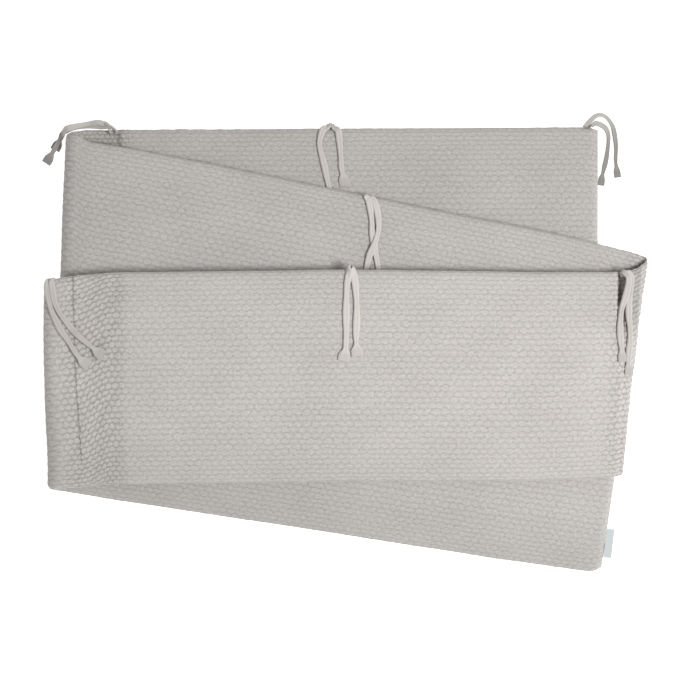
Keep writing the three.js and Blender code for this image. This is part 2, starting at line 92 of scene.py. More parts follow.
# %% The runs, from one end of the strip to the other
RUNS = [
    {"name": "floor", "face_up": 1, "corner": 0.005, "lines": [
        {"mark": "end", "top": (0.3833, 0.3182), "low": (0.3833, 0.0152)},
        {"mark": "foam ends", "top": (-0.3287, 0.3142), "low": (-0.3147, 0.0142)},
        {"mark": "foam starts", "top": (-0.3797, 0.3142), "low": (-0.3887, 0.0102)},
        {"mark": "fold", "top": (-0.4037, 0.3132), "low": (-0.4167, 0.0082)},
    ]},
    {"name": "second", "face_up": -1, "corner": 0.001, "lines": [
        {"mark": "fold", "top": (-0.4042, 0.3052), "low": (-0.4167, 0.0042)},
        {"mark": "plain", "top": (-0.3767, 0.2942), "low": (-0.3887, -0.0058)},
        {"mark": "plain", "top": (-0.3067, 0.2832), "low": (-0.3357, -0.0168)},
        {"mark": "plain", "top": (-0.1617, 0.2552), "low": (-0.2207, -0.0438)},
        {"mark": "plain", "top": (0.1733, 0.1867), "low": (0.1113, -0.1118)},
        {"mark": "plain", "top": (0.3083, 0.1607), "low": (0.2543, -0.1438)},
        {"mark": "foam ends", "top": (0.4413, 0.1282), "low": (0.3953, -0.1828)},
        {"mark": "hinge", "top": (0.4623, 0.1232), "low": (0.4063, -0.1858)},
    ]},
    {"name": "top", "face_up": 1, "corner": 0.001, "lines": [
        {"mark": "hinge", "top": (0.4273, 0.1012), "low": (0.4168, -0.1948)},
        {"mark": "foam starts", "top": (0.4123, 0.1002), "low": (0.4043, -0.1968)},
        {"mark": "plain", "top": (0.2643, 0.1007), "low": (0.2653, -0.2028)},
        {"mark": "plain", "top": (0.0103, 0.1037), "low": (0.0103, -0.2038)},
        {"mark": "foam ends", "top": (-0.3267, 0.0992), "low": (-0.3337, -0.2088)},
        {"mark": "foam starts", "top": (-0.3817, 0.0947), "low": (-0.3777, -0.2133)},
        {"mark": "fold", "top": (-0.4257, 0.0902), "low": (-0.4307, -0.2158)},
    ]},
    {"name": "third", "face_up": -1, "corner": 0.01, "lines": [
        {"mark": "fold", "top": (-0.4267, 0.0862), "low": (-0.4307, -0.2218)},
        {"mark": "plain", "top": (-0.2947, 0.0677), "low": (-0.3437, -0.2338)},
        {"mark": "plain", "top": (-0.0087, 0.0252), "low": (-0.0527, -0.2778)},
        {"mark": "plain", "top": (0.2753, -0.0168), "low": (0.2363, -0.3228)},
        {"mark": "end", "top": (0.4223, -0.0388), "low": (0.3868, -0.3438)},
    ]},
]

# %% The folds between the runs
# A fold's reach is how far it may stand out, first at the low edge and then at the top edge.
FOLDS = [
    {"from": "floor", "to": "second", "side": -1, "face_out": -1,
     "reach": (0.040, 0.040), "thickness": FOLD},
    {"from": "second", "to": "top", "side": 1, "face_out": 1,
     "reach": (0.009, 0.012), "thickness": HINGE},
    {"from": "top", "to": "third", "side": -1, "face_out": 1,
     "reach": (0.040, 0.040), "thickness": FOLD},
]
RUN_NAMED = {run["name"]: run for run in RUNS}
print("runs:", list(RUN_NAMED), "folds:", len(FOLDS))

# %% Small helpers for blends
TURN = 2 * math.pi
TINY = 1e-12


def mix(a, b, share):
    return a + (b - a) * share


def smooth(x):
    """A soft rise from 0 to 1, level at both ends."""
    x = np.clip(x, 0, 1)
    return x * x * (3 - 2 * x)


def rounded(x):
    """A rise from 0 to 1 along a quarter of a circle."""
    return np.sqrt(1 - (1 - np.clip(x, 0, 1)) ** 2)


def unit(v):
    return v / np.maximum(np.linalg.norm(v, axis=-1, keepdims=True), TINY)


# %% [markdown]
# A panel rests on the ones below it. Past the edge of what carries it, it comes down in a soft slope,
# as foam does. So the height of a run's middle depends on how far a point is from each panel below.

# %% How high each run lies
# A bridge is how far past its support's edge a run has come all the way down.
BRIDGES = {"floor": 0.15, "second": 0.15, "third": 0.2, "top": 0.26}
UNDER = {
    "floor": [],
    "second": ["floor"],
    "third": ["floor", "second"],
    "top": ["floor", "second", "third"],
}


def outline_of(run):
    first, last = run["lines"][0], run["lines"][-1]
    left, right = (first, last) if first["top"][0] < last["top"][0] else (last, first)
    return [left["top"], right["top"], right["low"], left["low"]]


def distance_outside(outline, x, y):
    nearest = np.full(np.shape(x), np.inf)
    inside = np.full(np.shape(x), True)
    for (ax, ay), (bx, by) in zip(outline, outline[1:] + outline[:1]):
        dx, dy = bx - ax, by - ay
        along = np.clip(((x - ax) * dx + (y - ay) * dy) / (dx * dx + dy * dy), 0, 1)
        nearest = np.minimum(nearest, np.hypot(x - ax - dx * along, y - ay - dy * along))
        inside &= dx * (y - ay) - dy * (x - ax) <= 0
    return np.where(inside, 0, nearest)


OUTLINES = {run["name"]: outline_of(run) for run in RUNS}


def rest_height(name, x, y):
    layers = np.zeros(np.shape(x))
    for other in UNDER[name]:
        layers = layers + 1 - smooth(distance_outside(OUTLINES[other], x, y) / BRIDGES[name])
    return FOAM / 2 + LAYER_PITCH * layers


top_middle_up = float(rest_height("top", np.array(0.0), np.array(-0.05)))
print("top panel's middle:", round(top_middle_up, 3), "m up")

# %% [markdown]
# At a fold the strip turns over and comes back on the layer above. Its middle follows half an
# ellipse, whose height is the step between the two layers.

# %% Lines and folds


def on_line(line, share):
    return mix(line["low"][0], line["top"][0], share), mix(line["low"][1], line["top"][1], share)


def turn_place(fold, line, share):
    """Where a run meets its fold, the direction out of the fold, and how far the fold stands out."""
    x, y = on_line(line, share)
    dx, dy = line["top"][0] - line["low"][0], line["top"][1] - line["low"][1]
    nx, ny = fold["side"] * dy / math.hypot(dx, dy), -fold["side"] * dx / math.hypot(dx, dy)
    rise = np.abs(rest_height(fold["to"], x, y) - rest_height(fold["from"], x, y)) / 2
    reach = np.minimum(rise, mix(*fold["reach"], share))
    back = reach + fold["thickness"] / 2
    return x - nx * back, y - ny * back, nx, ny, reach


def place_on(run, line, share):
    if line["mark"] not in ("fold", "hinge"):
        return on_line(line, share)
    key = "to" if run["lines"][0] is line else "from"
    fold = next(f for f in FOLDS if f[key] == run["name"])
    return turn_place(fold, line, share)[:2]


def fold_middle(fold, angle, share):
    """The middle of the strip at an angle round a fold, and the direction its front faces."""
    ax, ay, a_nx, a_ny, a_reach = turn_place(fold, RUN_NAMED[fold["from"]]["lines"][-1], share)
    bx, by, b_nx, b_ny, b_reach = turn_place(fold, RUN_NAMED[fold["to"]]["lines"][0], share)
    start = rest_height(fold["from"], ax, ay)
    rise = rest_height(fold["to"], bx, by) - start
    turned = (1 - np.cos(angle)) / 2
    nx, ny = mix(a_nx, b_nx, turned), mix(a_ny, b_ny, turned)
    reach = mix(a_reach, b_reach, turned)
    out = reach * np.sin(angle)
    x, y = mix(ax, bx, turned) + nx * out, mix(ay, by, turned) + ny * out
    middle = np.stack([x, y, start + rise * turned], -1)
    shift = ((bx - ax) * nx + (by - ay) * ny) / 2
    forwards = shift * np.sin(angle) + reach * np.cos(angle)
    upwards = rise / 2 * np.sin(angle)
    face = unit(np.stack([nx * upwards, ny * upwards, -forwards], -1))
    return middle, face * (fold["face_out"] * np.sign(rise))[..., None]


# %% [markdown]
# ## The knit's grid
# The cover is a jersey whose surface is all small raised scales, set in rows like bricks. On a panel a
# scale is about 12 mm long and 8 mm high, and on the loose cloth of a hinge it draws together to
# about 9 mm. A cloth simulation would pull this grid out of true at every fold, so the cover is
# worked out by formulas on the grid itself. With three steps to a scale each way, every scale is real
# relief. Where a layer covers another, one face to a scale is enough.

# %% Sizes of the knit
SCALE_PITCH = 0.0124
LOOSE_PITCH = 0.0090
ROW_AT_EDGE = 0.0063
ROW_IN_MIDDLE = 0.0084
ROW_REACH = 0.09
STEPS_ALONG = 3
STEPS_ACROSS = 3
LOOSE_REACH = 0.035
FINE_STEPS_UP = 2000
FINE_STEPS_ALONG = 3000
ARC = math.pi / 2 * EDGE_RADIUS
CLOTH_HEIGHT = STRIP_HEIGHT + 2 * (ARC - EDGE_RADIUS)

finely_up = np.linspace(0, CLOTH_HEIGHT, FINE_STEPS_UP)
to_edge = np.minimum(finely_up, CLOTH_HEIGHT - finely_up)
row_pitch = mix(ROW_AT_EDGE, ROW_IN_MIDDLE, smooth(to_edge / ROW_REACH))
rows_passed = np.diff(finely_up) * 2 / (row_pitch[1:] + row_pitch[:-1])
rows_below = np.concatenate([[0], np.cumsum(rows_passed)])
ROWS = round(rows_below[-1])
RING = 2 * ROWS * STEPS_ACROSS
print("rows of scales on a side:", ROWS)

# %% [markdown]
# Foam fills the cover right up to its round edges, and a free end closes in a seam. Near a fold the
# foam is squeezed a little thinner, and a hinge holds no foam at all.

# %% Thickness along a run


def line_distances(run):
    places = np.array([place_on(run, line, 0.5) for line in run["lines"]])
    return np.concatenate([[0], np.cumsum(np.hypot(*np.diff(places, axis=0).T))])


def foam_spans(run, distances):
    """Where each foam of a run starts and ends. Foam that goes on past the run starts or ends far off."""
    starts = [d for d, line in zip(distances, run["lines"]) if line["mark"] == "foam starts"]
    ends = [d for d, line in zip(distances, run["lines"]) if line["mark"] == "foam ends"]
    if not starts or (ends and ends[0] < starts[0]):
        starts.insert(0, -FAR)
    if len(ends) < len(starts):
        ends.append(FAR)
    return list(zip(starts, ends))


def away_from(mark, run, distances, along):
    """How far each place is from the nearest line with this mark."""
    gaps = [np.abs(along - d) for d, line in zip(distances, run["lines"]) if line["mark"] == mark]
    return np.min(gaps, axis=0) if gaps else np.full(np.shape(along), FAR)


def into_foam(run, distances, along):
    """How deep in foam each place is. It is below 0 in the bare cloth of a hinge."""
    return np.max([np.minimum(along - a, b - along) for a, b in foam_spans(run, distances)], axis=0)


def half_thickness(run, distances, along):
    foam = mix(FOLD, FOAM, smooth(away_from("fold", run, distances, along) / SQUEEZE))
    depth = into_foam(run, distances, along)
    puffed = (run["name"] == "top") & (along > distances[-1] / 2)
    bare = np.where(puffed, PUFFED_HINGE, HINGE)
    filled = np.where(puffed, smooth(depth / PUFFED_REACH), rounded(depth / EDGE_RADIUS))
    thickness = mix(bare, foam, np.where(depth > 0, filled, 0))
    return thickness / 2 * rounded(away_from("end", run, distances, along) / EDGE_RADIUS)


# %% [markdown]
# The mesh needs a ring of points at each step of the knit. So each run is measured along its cloth,
# and its scales are stretched a little until a whole number of them fits.

# %% Stations along a run, one for each step of the knit


def round_the_edge(cloth):
    """How far in from the pad's edge a length of cloth reaches that starts at the seam."""
    return EDGE_RADIUS * (1 - np.cos(cloth / EDGE_RADIUS))


def stations_of(run):
    """Distances along a run's middle, a whole number of scales from one end to the other."""
    distances = line_distances(run)
    total = distances[-1]
    closes = [run["lines"][0]["mark"] == "end", run["lines"][-1]["mark"] == "end"]
    spare = ARC - EDGE_RADIUS
    cloth_total = total + spare * sum(closes)
    cloth = np.linspace(0, cloth_total, FINE_STEPS_ALONG)
    along = cloth.copy()
    if closes[0]:
        along = np.where(cloth < ARC, round_the_edge(cloth), cloth - spare)
    if closes[1]:
        left = cloth_total - cloth
        along = np.where(left < ARC, total - round_the_edge(left), along)
    pitch = mix(LOOSE_PITCH, SCALE_PITCH, smooth(into_foam(run, distances, along) / LOOSE_REACH))
    cells = np.concatenate([[0], np.cumsum(np.diff(cloth) / ((pitch[1:] + pitch[:-1]) / 2))])
    count = round(cells[-1])
    steps = np.arange(count * STEPS_ALONG + 1) / STEPS_ALONG
    return np.interp(steps, cells * count / cells[-1], along), distances


# %% [markdown]
# Between two foams an empty hinge sags a little. On the right of the top panel the cloth is tucked
# down beside the foam, in a narrow slot that opens towards the top edge. The slot's places are
# measured along the strip, and its ends as a share of the strip's height.

# %% The strip's middle along a run
SLOT_FROM = 0.001
SLOT_TO = 0.0145
SLOT_DEPTH = 0.019
SLOT_ENDS = 0.62
SLOT_EASE = 0.16
SLOT_SHAPE = 1.3
PUFFED_SAG = 0.001
EASING_STEPS = 6


def eased(places):
    """Rounds the bends of a run in plan, and keeps its two ends where they are."""
    start = 2 * places[:1] - places[EASING_STEPS:0:-1]
    close = 2 * places[-1:] - places[-2 : -EASING_STEPS - 2 : -1]
    longer = np.concatenate([start, places, close])
    weights = np.hanning(2 * EASING_STEPS + 3)[1:-1]
    total = sum(w * longer[k : k + len(places)] for k, w in enumerate(weights))
    return total / weights.sum()


def slot_at(along, share):
    """How deep the cloth is tucked down beside the top panel's foam."""
    tucked = np.clip((along - SLOT_FROM) / (SLOT_TO - SLOT_FROM), 0, 1)[:, None]
    return SLOT_DEPTH * np.sin(math.pi * tucked) ** SLOT_SHAPE * smooth((share - SLOT_ENDS) / SLOT_EASE)


def run_middle(run, along, distances, share):
    """Points of the strip's middle: one row for each station, one column for each share across."""
    i = np.clip(np.searchsorted(distances, along, side="right"), 1, len(distances) - 1)
    part = ((along - distances[i - 1]) / (distances[i] - distances[i - 1]))[:, None, None]
    on_lines = [np.stack(place_on(run, line, share), -1) for line in run["lines"]]
    places, rows = np.array(on_lines), np.arange(len(along))
    x, y = np.moveaxis(eased(mix(places[i - 1, rows], places[i, rows], part)), -1, 0)
    hollow_from = [d for d, line in zip(distances, run["lines"]) if line["mark"] == "foam ends"]
    hollow_to = [d for d, line in zip(distances, run["lines"]) if line["mark"] == "foam starts"]
    sag = 0
    if hollow_from and hollow_to and hollow_to[-1] > hollow_from[0]:
        inside = np.clip((along - hollow_from[0]) / (hollow_to[-1] - hollow_from[0]), 0, 1)
        sag = (SAG * np.sin(math.pi * inside) ** 2)[:, None]
    if run["name"] == "top":
        sag = sag * (along[:, None] > distances[-1] / 2) * PUFFED_SAG / SAG + slot_at(along, share)
    return np.stack([x, y, rest_height(run["name"], x, y) - sag], -1)


# %% Where each point of the ring lies across the strip
ring_rows = np.arange(RING) / STEPS_ACROSS
row_on_side = np.where(ring_rows <= ROWS, ring_rows, 2 * ROWS - ring_rows)
cloth_up = np.interp(row_on_side, rows_below * ROWS / rows_below[-1], finely_up)
from_seam = np.minimum(cloth_up, CLOTH_HEIGHT - cloth_up)
from_edge = np.where(from_seam < ARC, round_the_edge(from_seam), from_seam - ARC + EDGE_RADIUS)
ring_share = np.where(cloth_up < CLOTH_HEIGHT / 2, from_edge, STRIP_HEIGHT - from_edge) / STRIP_HEIGHT
ring_fullness = np.where(from_seam < ARC, np.sin(from_seam / EDGE_RADIUS), 1.0)
ring_side = np.where(ring_rows <= ROWS, 1.0, -1.0)
print("points round the strip:", RING)

# %% [markdown]
# Foam in a sewn cover is a little thicker in its middle than at its seams, so each panel has a low
# crown. The crown also dies out towards the foam's ends. At a fold the cloth is drawn over the bend,
# so its scales stay nearly as flat as on a panel.

# %% The smooth padded form
CROWN = 0.0006
CROWN_REACH = 0.07
FOLD_STEPS = 60
FOLD_LOOSENESS = 0.25


def ring_points(middle, face, half, crown):
    """Points on the cover round the strip's middle, half as far out as the strip is thick."""
    fullness = half[:, None] * ring_fullness
    fullness = fullness + (crown[:, None] * smooth(from_edge / CROWN_REACH))
    return middle + face * (ring_side * fullness)[..., None]


def lay_run(run):
    """The cover's points along a run, and how loose the cloth is at each station."""
    along, distances = stations_of(run)
    to_end = away_from("end", run, distances, along)
    inset = run["corner"] * (1 - rounded(to_end / run["corner"])) / STRIP_HEIGHT
    share = mix(inset[:, None], 1 - inset[:, None], ring_share[None, :])
    middle = run_middle(run, along, distances, share)
    depth = into_foam(run, distances, along)
    crown = CROWN * smooth(np.minimum(depth, to_end) / CROWN_REACH)
    face = np.broadcast_to(np.array([0, 0, run["face_up"]], float), middle.shape)
    points = ring_points(middle, face, half_thickness(run, distances, along), crown)
    return points, 1 - smooth(depth / LOOSE_REACH)


def lay_fold(fold):
    """The cover's points round a fold, without those that its two runs have already."""
    sides = fold_middle(fold, np.linspace(0, math.pi, FOLD_STEPS)[:, None], np.array([0.5]))[0][:, 0]
    length = np.linalg.norm(np.diff(sides, axis=0), axis=1).sum()
    empty = fold["thickness"] < FOLD
    cells = max(1, round(length / (LOOSE_PITCH if empty else SCALE_PITCH)))
    angles = np.linspace(0, math.pi, cells * STEPS_ALONG + 1)[1:-1, None]
    middle, face = fold_middle(fold, angles, ring_share[None, :])
    half = np.full(len(angles), fold["thickness"] / 2)
    points = ring_points(middle, face, half, np.zeros(len(angles)))
    return points, np.full(len(angles), 1.0 if empty else FOLD_LOOSENESS)


form, looseness, spans = [], [], {}
count = 0
for run in RUNS:
    laid = [(run["name"], 0, lay_run(run))]
    laid += [("fold_" + run["name"], 1, lay_fold(fold)) for fold in FOLDS if fold["from"] == run["name"]]
    for name, shared, (points, loose) in laid:
        spans[name] = (count - shared, count + len(points) + shared)
        form.append(points)
        looseness.append(loose)
        count += len(points)
form = np.concatenate(form)
looseness = np.concatenate(looseness)
CELLS_ALONG = (len(form) - 1) // STEPS_ALONG
assert len(form) == CELLS_ALONG * STEPS_ALONG + 1, (len(form), CELLS_ALONG)
print("stations:", len(form), "scales along the strip:", CELLS_ALONG)

# %% [markdown]
# ## Creases and scales
# The cover isn't drawn tight. It puckers a little at its seams, it wrinkles where a hinge leaves it
# loose, and each panel is slightly uneven. These moves are small sums of waves from a fixed seed. The
# scales come last. All of it moves the cloth square to its own surface, and dies out at the seams.

# %% Uneven cloth
NOISE_WAVES = 8
NOISE_STRETCH = (0.7, 1.5)


def soft_noise(a, b, size, seed):
    """A smooth unevenness between about -1 and 1, whose waves are about size long."""
    chance = np.random.default_rng(seed)
    total = 0
    for _ in range(NOISE_WAVES):
        angle = chance.uniform(0, math.pi)
        phase = chance.uniform(0, TURN)
        length = size * chance.uniform(*NOISE_STRETCH)
        total = total + np.sin(TURN * (a * math.cos(angle) + b * math.sin(angle)) / length + phase)
    return total / (NOISE_WAVES / 2)


middle_line = form[:, RING // 4]
gone_by = np.cumsum(np.linalg.norm(np.diff(middle_line, axis=0), axis=1))
strip_along = np.concatenate([[0], gone_by])[:, None]
strip_up = cloth_up[None, :]
loose = looseness[:, None]
to_seam = from_seam[None, :]
print("strip length:", round(float(strip_along[-1, 0]), 2), "m")

# %% Puckers, wrinkles and an uneven panel
# Puckers and wrinkles are longer across the strip than along it. Each side is uneven in its own way.
MOVES = {
    "pucker": {"height": 0.0007, "size": 0.022, "seed": 3},
    "wrinkle": {"height": 0.0006, "size": 0.028, "seed": 5},
    "uneven": {"height": 0.0005, "size": 0.14, "seed": 7},
}
PUCKER_REACH = 0.014
PUCKER_ACROSS = 0.3
WRINKLE_ACROSS = 0.35
WRINKLE_SLANT = 0.5
SIDES_APART = 0.4
SEAM_HOLD = 0.004


def moved(name, a, b):
    move = MOVES[name]
    return move["height"] * soft_noise(a, b, move["size"], move["seed"])


to_strip_end = np.minimum(strip_along, strip_along[-1] - strip_along)
seam_free = smooth(to_seam / SEAM_HOLD) * smooth(to_strip_end / SEAM_HOLD)
at_seam = np.exp(-((to_seam / PUCKER_REACH) ** 2))
pucker = moved("pucker", strip_along, PUCKER_ACROSS * strip_up) * at_seam
slanted = strip_along + WRINKLE_SLANT * strip_up
wrinkle = moved("wrinkle", slanted, WRINKLE_ACROSS * strip_up * ring_side) * loose
uneven = moved("uneven", strip_along, strip_up + SIDES_APART * (ring_side > 0))
print("pucker:", round(float(np.ptp(pucker)) * 1000, 2), "mm")

# %% [markdown]
# A scale on a panel stands about half a millimetre proud, and one on loose cloth twice as much. In
# the puffed hinge the rows lean, because the cloth there isn't pulled straight.

# %% Scales of the knit
RELIEF = 0.0005
LOOSE_RELIEF = 0.0010
RELIEF_VARIES = 0.3
RELIEF_PATCH = 0.05
RELIEF_SEED = 11
LEAN_ROWS = 2
BARE_CLOTH = 0.999
FLOOR_GAP = 0.0001

stations = np.arange(len(form))
cells_along = (stations / STEPS_ALONG)[:, None]
first, last = spans["top"]
in_puffed_hinge = (looseness > BARE_CLOTH) & (stations > (first + last) / 2) & (stations < last)
hollow = np.flatnonzero(in_puffed_hinge)
lean = LEAN_ROWS * smooth((stations - hollow[0]) / (hollow[-1] - hollow[0]))[:, None]
knit_rows = ring_rows[None, :] + lean


def knit_height(cells, rows):
    """Rounded scales in staggered rows, about 0 on the whole."""
    rows = rows + 0.5
    rising, falling = np.cos(TURN * (cells - rows / 2)), np.cos(TURN * (cells + rows / 2))
    return (rising + falling + np.cos(TURN * rows)) / 3


patches = soft_noise(strip_along, strip_up, RELIEF_PATCH, RELIEF_SEED)
strength = mix(RELIEF, LOOSE_RELIEF, loose) * (1 + RELIEF_VARIES * patches)
scales = strength * knit_height(cells_along, knit_rows)
along_step = np.gradient(form, axis=0)
across_step = np.roll(form, -1, axis=1) - np.roll(form, 1, axis=1)
outwards = unit(np.cross(across_step, along_step))
dressed = form + outwards * ((pucker + wrinkle + uneven + scales) * seam_free)[..., None]
dressed[..., 2] = np.maximum(dressed[..., 2], FLOOR_GAP)
print("relief:", round(float(np.ptp(scales)) * 1000, 2), "mm")

# %% [markdown]
# Two dark lines show on the top panel. One is a crease in the cloth where the left foam begins. It is
# too fine for the mesh, so the material paints its shade as a dark line. The other is the tuck beside
# the foam on the right, whose slot the mesh has and whose shade the material paints darker. So each
# point of the cover carries how far past the crease it is, and whether it is in the tuck.

# %% Where the crease and the tuck are
# The crease's points are x and y, from the top edge down. It eases out at its low end. The tuck is
# measured along the strip, before and after the start of the top run.
CREASE = [(-0.3813, 0.088), (-0.3790, -0.0435), (-0.3767, -0.129), (-0.3757, -0.172), (-0.3742, -0.186)]
CREASE_EASE = 0.012
CREASE_ELSEWHERE = 0.5
TUCK_BEFORE = 0.030
TUCK_AFTER = 0.017
TUCK_EASE = 0.006

crease_x = np.interp(form[..., 1], [y for _, y in CREASE][::-1], [x for x, _ in CREASE][::-1])
in_top_run = ((stations >= first) & (stations < last))[:, None]
on_top = in_top_run * (ring_side > 0) * smooth((form[..., 1] - CREASE[-1][1]) / CREASE_EASE)
past_crease = form[..., 0] - crease_x + CREASE_ELSEWHERE * (1 - on_top)
past_slot = strip_along - strip_along[first]
in_tuck = smooth((past_slot + TUCK_BEFORE) / TUCK_EASE) * smooth((TUCK_AFTER - past_slot) / TUCK_EASE)
in_tuck = in_tuck * smooth((strip_up / CLOTH_HEIGHT - SLOT_ENDS) / SLOT_EASE)
print("points in the tuck:", int((in_tuck > 0).sum()))

# %% [markdown]
# ## The cover as one mesh
# A scale gets its full relief where it can be seen from above or near an edge. The CAD solid tells
# which scales another layer covers.

# %% Which scales show
LOOK_FROM = 0.003
SHOWN_MARGIN = 2
EDGE_ROWS = 2


def tree_of(obj):
    mesh = obj.data
    corners = [obj.matrix_world @ v.co for v in mesh.vertices]
    return BVHTree.FromPolygons(corners, [tuple(p.vertices) for p in mesh.polygons])


solid = tree_of(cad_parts["padded_strip"])
centre_i = np.arange(CELLS_ALONG) * STEPS_ALONG + STEPS_ALONG // 2
centre_j = np.arange(2 * ROWS) * STEPS_ACROSS + STEPS_ACROSS // 2
shows = np.zeros((CELLS_ALONG, 2 * ROWS), bool)
for a, i in enumerate(centre_i):
    for b, j in enumerate(centre_j):
        above = form[i, j] + np.array([0, 0, LOOK_FROM])
        shows[a, b] = solid.ray_cast(Vector(above), Vector((0, 0, 1)))[0] is None
near = shows.copy()
for step in range(-SHOWN_MARGIN, SHOWN_MARGIN + 1):
    near |= np.roll(shows, step, axis=1)
    near |= np.roll(shows, step, axis=0)
row_at = np.minimum(np.arange(2 * ROWS) % ROWS, ROWS - 1 - np.arange(2 * ROWS) % ROWS)
near |= (row_at < EDGE_ROWS)[None, :]
print("scales in full relief:", int(near.sum()), "of", near.size)

# %% [markdown]
# Each scale is a patch of nine small faces, or one large face where it is covered. A large face takes
# the extra points of a fine neighbour into its edge, so the cover has no gap.

# %% Build the cover's mesh
MERGE_WITHIN = 0.00005


def at(i, j):
    return i * RING + j % RING


def fine_patch(i0, i1, j0, j1):
    return [
        [(i, j), (i, j + 1), (i + 1, j + 1), (i + 1, j)]
        for i in range(i0, i1)
        for j in range(j0, j1)
    ]


def coarse_patch(a, b, i0, i1, j0, j1):
    before = a > 0 and near[a - 1, b]
    after = a + 1 < CELLS_ALONG and near[a + 1, b]
    below, beyond = near[a, b - 1], near[a, (b + 1) % (2 * ROWS)]
    loop = [(i0, j) for j in (range(j0, j1) if before else [j0])]
    loop += [(i, j1) for i in (range(i0, i1) if beyond else [i0])]
    loop += [(i1, j) for j in (range(j1, j0, -1) if after else [j1])]
    loop += [(i, j0) for i in (range(i1, i0, -1) if below else [i1])]
    return [loop]


faces = []
knit_places = []
for a in range(CELLS_ALONG):
    for b in range(2 * ROWS):
        edges = (a * STEPS_ALONG, (a + 1) * STEPS_ALONG, b * STEPS_ACROSS, (b + 1) * STEPS_ACROSS)
        for loop in fine_patch(*edges) if near[a, b] else coarse_patch(a, b, *edges):
            faces.append([at(i, j) for i, j in loop])
            knit_places.extend((i / STEPS_ALONG, j / STEPS_ACROSS + lean[i, 0]) for i, j in loop)

used, renumbered = np.unique(np.concatenate([np.array(f) for f in faces]), return_inverse=True)
starts = np.concatenate([[0], np.cumsum([len(f) for f in faces])])
corners = dressed.reshape(-1, 3)[used]
loops = [renumbered[a:b].tolist() for a, b in zip(starts[:-1], starts[1:])]
mesh = bpy.data.meshes.new("cover")
mesh.from_pydata(corners.tolist(), [], loops)
cover = bpy.data.objects.new("padded_cover", mesh)
scene.collection.objects.link(cover)
print("cover faces:", len(mesh.polygons))

# %% What the material reads from the cover
knit_map = mesh.uv_layers.new(name="knit")
knit_map.data.foreach_set("uv", np.array(knit_places, dtype=np.float32).ravel())
carried = {
    "past_crease": past_crease,
    "looseness": np.broadcast_to(loose, past_crease.shape),
    "in_tuck": in_tuck,
}
for name, values in carried.items():
    stored = mesh.attributes.new(name, "FLOAT", "POINT")
    stored.data.foreach_set("value", values.ravel()[used].astype(np.float32))
print("cover carries:", list(carried))

# %% Close the two free ends
bpy.ops.object.select_all(action="DESELECT")
cover.select_set(True)
bpy.context.view_layer.objects.active = cover
bpy.ops.object.mode_set(mode="EDIT")
bpy.ops.mesh.select_all(action="SELECT")
bpy.ops.mesh.remove_doubles(threshold=MERGE_WITHIN)
bpy.ops.object.mode_set(mode="OBJECT")
bpy.ops.object.shade_smooth()
mesh.calc_loop_triangles()
print("cover triangles:", len(mesh.loop_triangles))

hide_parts("padded_strip")
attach(cover, "root")

# %% [markdown]
# ## Ties
# A tie is a flat tape of plain jersey, about 30 cm long, caught by its middle in the top seam. The
# tape's long edges curl in, one over the other, so a strand is a soft cord with a fold along it. Its
# free end is cut across and spreads like a small fan. A simulated cloth would slide to other places
# than the real one, so each strand is laid along the points of its route, over what is there, and its
# middle line never sinks into it.

# %% Sizes of a tie
TAPE_WIDTH = 0.0092
TAPE_THICKNESS = 0.0034
FAN_THICKNESS = 0.0014
FAN_LENGTH = 0.019
HEM_LENGTH = 0.007
WIDTH_WAVES = 0.13
WAVE_LENGTH = 0.062
WAVE_START = 2.0
WAVE_SHIFT = 2.5
NECK = 0.22
NECK_LENGTH = 0.006
PINCH_WIDTH = 0.0066
PINCH_LENGTH = 0.022
CLEARANCE = 0.0004
# Each tie's own width, the width of its cut end, and a tone that the light of its place gives it.
TIE_SIZES = {
    "tie_floor_left": {"width": 0.0078, "fan": 0.0145, "tone": 0.84},
    "tie_floor_middle": {"width": 0.0090, "fan": 0.0165, "tone": 0.94},
    "tie_floor_right": {"width": 0.0068, "fan": 0.0105, "tone": 0.8},
    "tie_second_middle": {"width": 0.0088, "fan": 0.0105, "tone": 1.0},
    "tie_top_middle": {"width": 0.0094, "fan": 0.0172, "tone": 1.04},
    "tie_top_left": {"width": 0.0086, "fan": 0.0165, "tone": 0.86},
    "tie_top_right": {"width": 0.0088, "fan": 0.0115, "tone": 0.9},
}
print("tie widths:", [sizes["width"] for sizes in TIE_SIZES.values()])

# %% [markdown]
# A strand leaves the seam in a short lead: four points that stand beside the seam's middle, past the
# pad's edge, and up from the seam. A loose tie stands out past the edge by its loop. A tight one is
# pressed into the edge. From there the strand has its route, point by point.

# %% The leads and routes of the ties
LEAD = [
    {"beside": 0.0010, "past": 0.0003, "up": 0},
    {"beside": 0.0014, "past": 0.0016, "up": 0.0008},
    {"beside": 0.0027, "past": None, "up": 0.0042},
    {"beside": 0.0046, "past": 0.0006, "up": 0.0078},
]
TIGHT_LOOP = 0.003
TIGHT_PAST = -0.0038
STEPS_BETWEEN = 9
